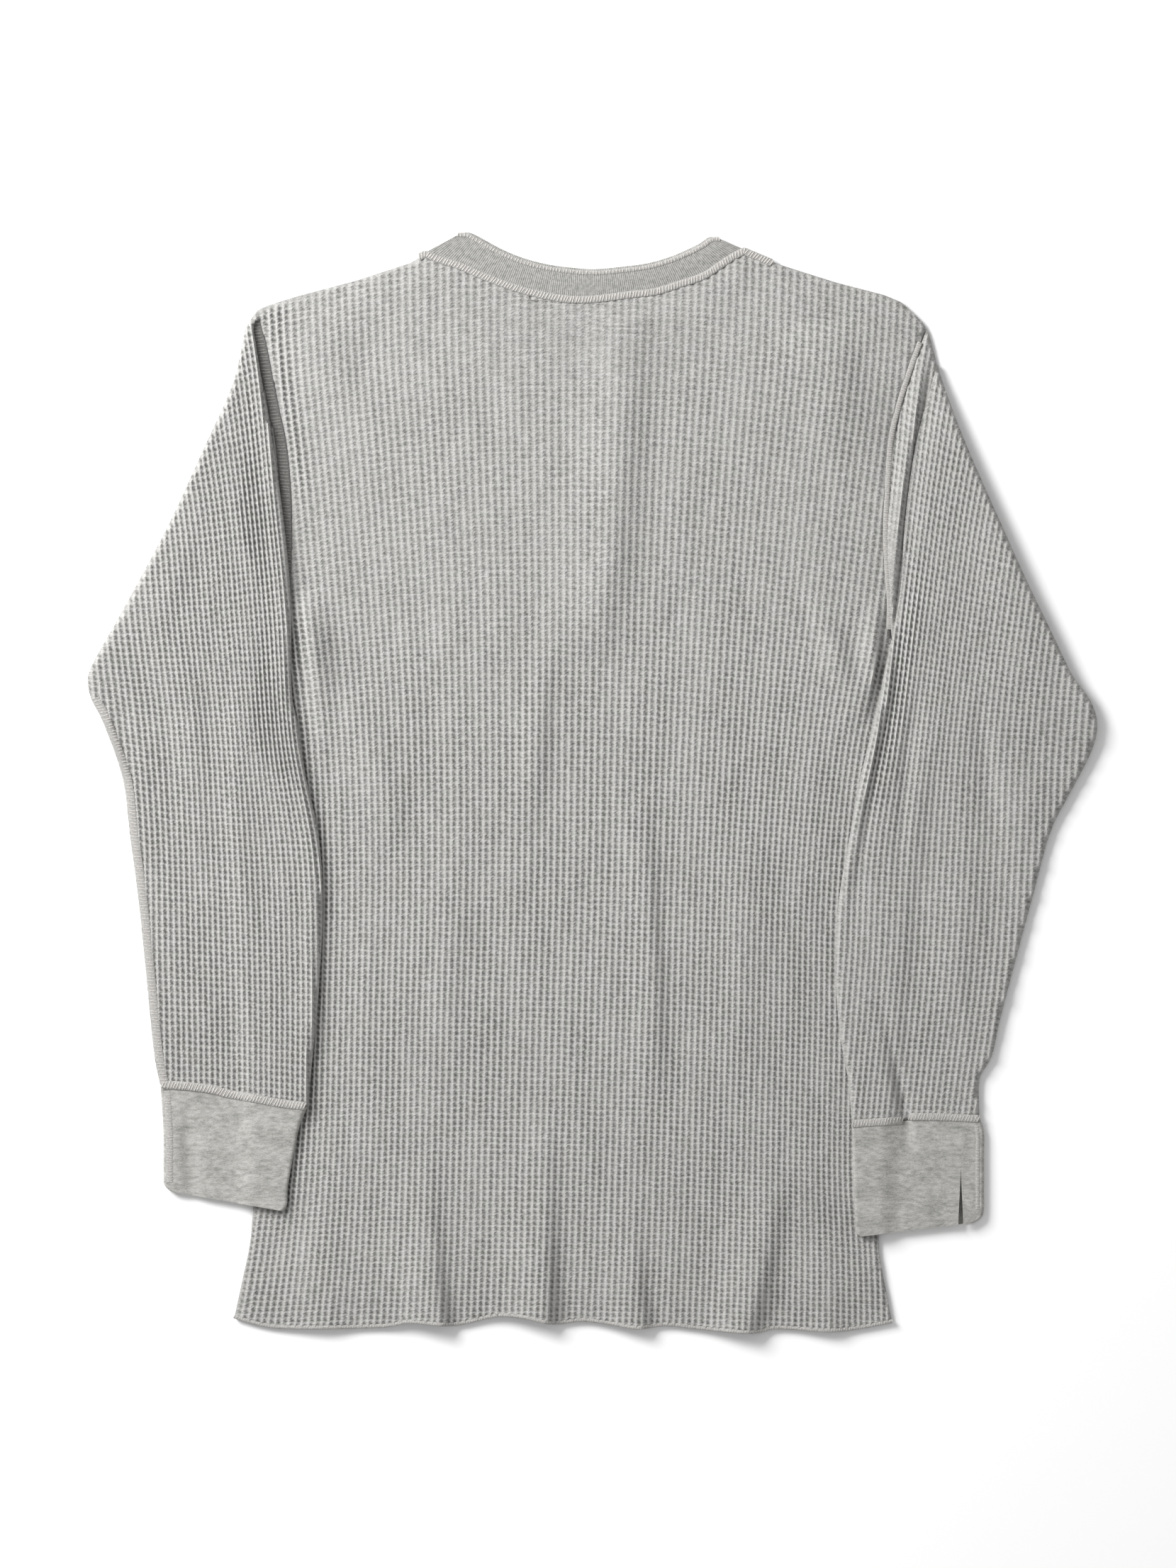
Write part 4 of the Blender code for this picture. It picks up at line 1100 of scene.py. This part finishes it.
class Wire:
    """One socket of a material, which adds nodes when it is used in Python maths."""

    def __init__(self, tree, socket=None):
        self.tree, self.socket = tree, socket

    def node(self, kind, settings=None, inputs=None, output=0):
        """Add any node: its settings first, then the values or links of its sockets."""
        made = self.tree.nodes.new("ShaderNode" + kind)
        for name, value in (settings or {}).items():
            setattr(made, name, value)
        for name, value in (inputs or {}).items():
            if isinstance(value, Wire):
                self.tree.links.new(value.socket, made.inputs[name])
            else:
                made.inputs[name].default_value = value
        return Wire(self.tree, made.outputs[output])

    def maths(self, operation, first, second=0.0):
        return self.node("Math", {"operation": operation}, {0: first, 1: second})

    def __add__(self, other):
        return self.maths("ADD", self, other)

    def __radd__(self, other):
        return self.maths("ADD", other, self)

    def __sub__(self, other):
        return self.maths("SUBTRACT", self, other)

    def __rsub__(self, other):
        return self.maths("SUBTRACT", other, self)

    def __mul__(self, other):
        return self.maths("MULTIPLY", self, other)

    def __rmul__(self, other):
        return self.maths("MULTIPLY", other, self)

    def sine(self):
        return self.maths("SINE", self)

    def cosine(self):
        return self.maths("COSINE", self)

    def above_zero(self):
        return self.maths("MAXIMUM", self, 0.0)

    def blend(self, first, second):
        """A colour between two, by this value."""
        first, second = (colour if isinstance(colour, Wire) else (*colour, 1.0) for colour in (first, second))
        return self.node("Mix", {"data_type": "RGBA"}, {"Factor": self, 6: first, 7: second}, output=2)


print("sockets can now be added, multiplied and blended")

# %% Start and finish of a material
CLOTH_ROUGHNESS = 0.95


def new_material(name, roughness, sheen):
    """A matt cloth or thread: the material, a wire to start its maths from, and its shader."""
    material = bpy.data.materials.new(name)
    material.use_nodes = True
    shader = material.node_tree.nodes["Principled BSDF"]
    shader.inputs["Roughness"].default_value = roughness
    shader.inputs["Specular IOR Level"].default_value = 0.25
    shader.inputs["Sheen Weight"].default_value = sheen
    shader.inputs["Sheen Roughness"].default_value = 0.6
    return material, Wire(material.node_tree), shader


def knit_numbers_of(wire):
    """Rib and course number at a point of the surface, from its knit map."""
    knit_map = wire.node("UVMap", {"uv_map": "knit"})
    rib = wire.node("SeparateXYZ", None, {0: knit_map})
    return rib, Wire(wire.tree, rib.socket.node.outputs[1])


def streaks(wire, across, up, scale_across, scale_up, detail=3.0):
    """Uneven streaks along the courses, from -1 to 1, as in yarn spun from light and dark fibres."""
    place = wire.node("CombineXYZ", None, {0: across * scale_across, 1: up * scale_up, 2: 0.0})
    return (wire.node("TexNoise", None, {"Vector": place, "Scale": 1.0, "Detail": detail}) - 0.5) * 2.0


def tinted(wire, colour, across, up, scales, offset, share, tint):
    """A colour with soft patches of another over it."""
    patches = streaks(wire, across, up, *scales, 2.0) * 0.9 + offset
    return (patches * share).blend(colour, tint)


def finish_surface(wire, shader, colour, strength, distance, height):
    """Give a shader its colour and its bumps."""
    bump = wire.node("Bump", None, {"Strength": strength, "Distance": distance, "Height": height})
    wire.tree.links.new(colour.socket, shader.inputs["Base Color"])
    wire.tree.links.new(bump.socket, shader.inputs["Normal"])


def wear(thing, material):
    """Give a piece this material and no other."""
    thing.data.materials.clear()
    thing.data.materials.append(material)


print("every cloth is %.2f rough" % CLOTH_ROUGHNESS)

# %% [markdown]
# ## The finish of the waffle knit
#
# The yarn is spun from light and dark fibres, so the cloth is a heather grey: flecks and short streaks lie
# along its courses, and slow clouds of tone run through them. The pits are painted darker than the ribs, as
# painted shade of the light that is lost in them, and the tops of the ribs where they cross a bar are painted
# lighter, as painted highlight. The geometry has the pits, but at this size it can't have every loop, so the
# material repeats the same ribs and courses from the knit map, a little looser, and adds the loops as bumps.

# %% Waffle material


def waffle_cloth(name):
    """Heather-grey waffle: light ribs, leaning pits painted dark as painted shade, and flecks of light and
    dark fibre.
    """
    material, wire, shader = new_material(name, CLOTH_ROUGHNESS, 0.1)
    rib, course = knit_numbers_of(wire)
    loose_rib = rib + streaks(wire, rib, course, 0.6, 0.8) * 0.13
    loose_course = course + streaks(wire, rib, course, 0.8, 0.3) * 0.2
    loose_course = loose_course + streaks(wire, rib, course, 0.53, 0.11) * 0.5
    turn = loose_rib * (2 * math.pi)
    ridge = turn.cosine() * 0.5 + 0.5
    bar = ((loose_course - turn.sine() * 0.11) * (2 * math.pi)).cosine() * 0.5 + 0.5
    inside = wire.node("Attribute", {"attribute_name": "inside"}, None, output=2)
    depth_and_shade = streaks(wire, rib, course, 0.16, 0.035) * 0.6 + streaks(wire, rib, course, 0.9, 0.16) * 0.55 + 0.8
    bar_light = streaks(wire, rib, course, 1.3, 1.1) * 0.35 + 0.55
    edge, deep = (1 - inside).above_zero(), (inside - 1).above_zero()
    # Painted shade: pit darkens the pits, more where inside passes 1; edge keeps a plain middle tone near the
    # edges.
    pit = (1 - ridge) * (1 - bar * bar_light) * depth_and_shade * inside + edge * 0.4
    cloud = streaks(wire, rib, course, 0.24, 0.11, 2.0)
    marl = streaks(wire, rib, course, 0.5, 1.5, 2.0)
    heather = streaks(wire, rib, course, 0.8, 3.0)
    fleck = streaks(wire, rib, course, 4.1, 5.3, 2.0)
    fibre = heather * 0.44 + marl * 0.34 + fleck * 0.58 + cloud * 0.15
    # Painted highlight: ridge * bar lightens the tops where ribs cross bars, and deep lightens the cloth a
    # little where the pits get more painted shade.
    shade = pit * 0.74 - ridge * bar * 0.12 - fibre - deep * 0.2 + 0.15
    colour = shade.blend((0.455, 0.449, 0.438), (0.135, 0.133, 0.128))
    colour = tinted(wire, colour, rib, course, (0.21, 0.5), 0.4, 0.14, (0.32, 0.33, 0.285))
    colour = tinted(wire, colour, rib, course, (0.13, 0.33), -0.1, 0.2, (0.38, 0.345, 0.325))
    loops = (loose_course * (4 * math.pi) + turn.cosine() * 1.5).cosine()
    height = (ridge + (1 - ridge) * bar * 0.5) * inside * 0.7 + loops * 0.05 + fleck * 0.22 + heather * 0.08
    finish_surface(wire, shader, colour, 1.0, MM, height)
    return material


waffle_material = waffle_cloth("grey_waffle")
for thing in (back, front, *sleeve_parts["left"], *sleeve_parts["right"]):
    wear(thing, waffle_material)
print(waffle_material.name, "has", len(waffle_material.node_tree.nodes), "nodes")

# %% [markdown]
# ## The finishes of the cuffs and the neckband
#
# The cuffs are the same yarn in a smooth jersey that was brushed, so they are only mottled, and have more of
# a sheen. The neckband is a fine rib: its ridges are pale, and the furrows between them are painted dark, as
# painted shade. Both read the map that their lofts were given.

# %% Jersey and rib materials


def jersey_cloth(name):
    """Brushed jersey, mottled along its courses."""
    material, wire, shader = new_material(name, CLOTH_ROUGHNESS, 0.15)
    across, up = knit_numbers_of(wire)
    heather = streaks(wire, across, up, 0.21, 0.5)
    fleck = streaks(wire, across, up, 0.8, 1.5, 2.0)
    cloud = streaks(wire, across, up, 0.05, 0.09, 2.0)
    shade = 0.34 - heather * 0.7 - fleck * 0.45 - cloud * 0.5
    colour = shade.blend((0.445, 0.435, 0.417), (0.145, 0.145, 0.135))
    colour = tinted(wire, colour, across, up, (0.12, 0.35), 0.4, 0.2, (0.27, 0.277, 0.235))
    finish_surface(wire, shader, colour, 1.0, MM, fleck * 0.12 + heather * 0.1 + cloud * 0.1)
    return material


def rib_cloth(name):
    """Fine rib with pale ridges, and furrows painted darker as painted shade."""
    material, wire, shader = new_material(name, CLOTH_ROUGHNESS, 0.15)
    rib, up = knit_numbers_of(wire)
    ridge = (rib * (2 * math.pi)).cosine() * 0.5 + 0.5
    heather = streaks(wire, rib, up, 0.6, 0.5)
    fleck = streaks(wire, rib, up, 2.2, 2.2, 2.0)
    # Painted shade: 1 - ridge darkens the furrows between the ribs.
    shade = (1 - ridge) * 0.85 - heather * 0.85 - fleck * 0.6 - 0.02
    colour = shade.blend((0.425, 0.416, 0.402), (0.145, 0.145, 0.135))
    colour = tinted(wire, colour, rib, up, (0.12, 0.2), 0.4, 0.2, (0.27, 0.277, 0.24))
    finish_surface(wire, shader, colour, 1.0, MM, ridge * 0.12 + fleck * 0.12)
    return material


jersey_material, rib_material = jersey_cloth("grey_jersey"), rib_cloth("grey_rib")
for thing in cuffs.values():
    wear(thing, jersey_material)
for thing in bands.values():
    wear(thing, rib_material)
print(jersey_material.name, "and", rib_material.name, "are on the cuffs and the neckband")

# %% [markdown]
# ## The finish of the threads and seams
#
# Sewing thread is spun, so it is lighter and darker along its fibres. Most of the seams are sewn in cream.
# The left armhole lies in the shade of the sleeve that is folded over it, and that shade is painted into its
# thread and band: they get darker grey colours, as painted shade. The line that shows through below the neck
# is sewn in the same grey thread. The threads are rods without a map, so their pattern reads Object
# coordinates.

# %% Thread materials


def thread_material(name, dark, light):
    """Spun thread, mottled along its fibres."""
    material, wire, shader = new_material(name, 0.8, 0.1)
    place = wire.node("TexCoord", None, None, output=3)
    fibre = wire.node("TexNoise", None, {"Vector": place, "Scale": 900.0, "Detail": 2.0})
    finish_surface(wire, shader, (fibre * 2.2 - 0.6).blend(dark, light), 0.3, 0.3 * MM, fibre)
    return material


thread_cream = thread_material("cream_thread", (0.42, 0.402, 0.38), (0.62, 0.597, 0.567))
band_grey = thread_material("seam_cloth", (0.27, 0.263, 0.252), (0.43, 0.418, 0.40))
# Painted shade: the dark seam cloth and the grey thread of the left armhole stand in for the shadow of the
# folded sleeve; the stitch line below the neck is grey thread of its own.
band_painted_shade = thread_material("shaded_seam_cloth", (0.1, 0.098, 0.093), (0.17, 0.166, 0.159))
thread_grey_and_shade = thread_material("grey_thread", (0.20, 0.19, 0.18), (0.36, 0.35, 0.33))
for thing in threads:
    wear(thing, thread_grey_and_shade if thing.name.startswith(("left_armhole", "neck_stitch")) else thread_cream)
for thing in seam_bands:
    wear(thing, band_painted_shade if thing.name.startswith("left_armhole") else band_grey)
print(len(threads), "threads and", len(seam_bands), "seam bands")

# %% [markdown]
# ## Handing the pieces to the frame
#
# Each cloth replaces the plain solid of its piece and rides on the root body with the threads and seam
# bands, and the size that it was cut at is printed.

# %% Replace, ride and print the sizes
for node, slot, pieces in (
        ("back_panel", "waffle", (back,)), ("front_panel", "waffle", (front,)),
        ("sleeve_left", "waffle", sleeve_parts["left"]), ("sleeve_right", "waffle", sleeve_parts["right"]),
        ("cuff_left", "jersey", (cuffs["left"],)), ("cuff_right", "jersey", (cuffs["right"],)),
        ("neckband_back", "rib", (bands["back"],)), ("neckband_front", "rib", (bands["front"],))):
    for piece in pieces:
        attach(piece, "root")
        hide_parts(node)
for thing in threads + seam_bands:
    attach(thing, "root")


def area_of(outline):
    """Area inside a closed outline, in square metres."""
    x, y = np.array(outline).T * MM
    return float(abs(np.sum(x * np.roll(y, -1) - y * np.roll(x, -1))) / 2)


def cut_size(outline, sides=1):
    """Width, length and area of a flat cut in metres, all round where it is a tube of two sides."""
    width, length = np.ptp(np.array(outline), axis=0) * MM
    return (float(width) * sides, float(length)), area_of(outline) * sides


def strip_size(table):
    """The same of a neckband, which was cut straight and is curved only by being sewn on."""
    rows = curve_through(table, 4)
    middle_line = (rows[:, :2] + rows[:, 2:]) / 2 * MM
    length = float(np.linalg.norm(np.diff(middle_line, axis=0), axis=1).sum())
    area = area_of(np.vstack([rows[:, :2], rows[::-1, 2:]]))
    return (length, area / length), area


def sewn_on(*names):
    """The threads and seam bands whose names start so."""
    return [thing for thing in threads + seam_bands if thing.name.startswith(names)]


for piece, (flat, area), under, extras in (
        (front, cut_size(front_outline), [], []),
        (back, cut_size(back_outline), [front],
         sewn_on("neck_seam", "neck_stitch", "hem_edge", "left_armhole", "right_armhole")),
        (sleeve_parts["left"][0], cut_size(left_sleeve.outline()), [back],
         [sleeve_parts["left"][1]] + sewn_on("left_sleeve_seam", "left_cuff_seam")),
        (sleeve_parts["right"][0], cut_size(right_sleeve.outline()), [back],
         [sleeve_parts["right"][1]] + sewn_on("right_cuff_seam")),
        (cuffs["left"], cut_size(left_cuff.outline(), 2), [back], sewn_on("left_cuff_side")),
        (cuffs["right"], cut_size(right_cuff.outline(), 2), [back], sewn_on("right_cuff_side")),
        (bands["front"], strip_size(FRONT_BAND), [front], []),
        (bands["back"], strip_size(BACK_BAND), [bands["front"]], sewn_on("neck_edge"))):
    print("%s: cut %.0f by %.0f mm, %.4f m2" % (piece.name, flat[0] / MM, flat[1] / MM, area))

# %% [markdown]
# ## Camera, light and floor
#
# A garment that lies flat is seen from straight above, where nothing hides behind anything. The camera has
# a long lens and stands far off, so that its edges keep their true shape. One large soft window stands at
# the upper left. Its light comes in low, because only a slanting light shows the relief of a knit, and the
# pale world fills the shade.

# %% Camera
VIEW_HEIGHT = 1041.852                  # millimetres of the surface that the view spans from top to bottom
AIM = (-0.0030, -0.0006)                # where it looks, in metres of the frame
camera_data = bpy.data.cameras.new("camera")
camera_data.lens, camera_data.sensor_width = 207.0, 36.0
camera_data.sensor_fit = "AUTO"
distance = VIEW_HEIGHT * MM * camera_data.lens / camera_data.sensor_width
camera = bpy.data.objects.new("camera", camera_data)
bpy.context.scene.collection.objects.link(camera)
camera.location = (*AIM, distance)
camera.rotation_euler = (0, 0, 0)
bpy.context.scene.camera = camera
print("the camera is %.2f m up" % distance)

# %% Light and floor
WINDOW_PLACE = Vector((-1.7, 1.3, 1.4))
FLOOR_WIDTH = 8
bpy.context.scene.view_settings.view_transform = "Standard"
world = bpy.data.worlds.new("studio")
bpy.context.scene.world = world
world.use_nodes = True
world.node_tree.nodes["Background"].inputs["Color"].default_value = (1, 1, 1, 1)
world.node_tree.nodes["Background"].inputs["Strength"].default_value = 0.52
window_data = bpy.data.lights.new("window", "AREA")
window_data.energy, window_data.shape, window_data.size = 105.0, "SQUARE", 1.3
window = bpy.data.objects.new("window", window_data)
bpy.context.scene.collection.objects.link(window)
window.location = WINDOW_PLACE
window.rotation_euler = (-WINDOW_PLACE).to_track_quat("-Z", "Y").to_euler()

select_only(None)
bpy.ops.mesh.primitive_plane_add(size=FLOOR_WIDTH)
floor = bpy.context.object
floor.name = "floor"
floor_material, _, floor_shader = new_material("white_floor", 0.9, 0.0)
floor_shader.inputs["Base Color"].default_value = (0.95, 0.95, 0.95, 1.0)
floor_shader.inputs["Specular IOR Level"].default_value = 0.0
wear(floor, floor_material)
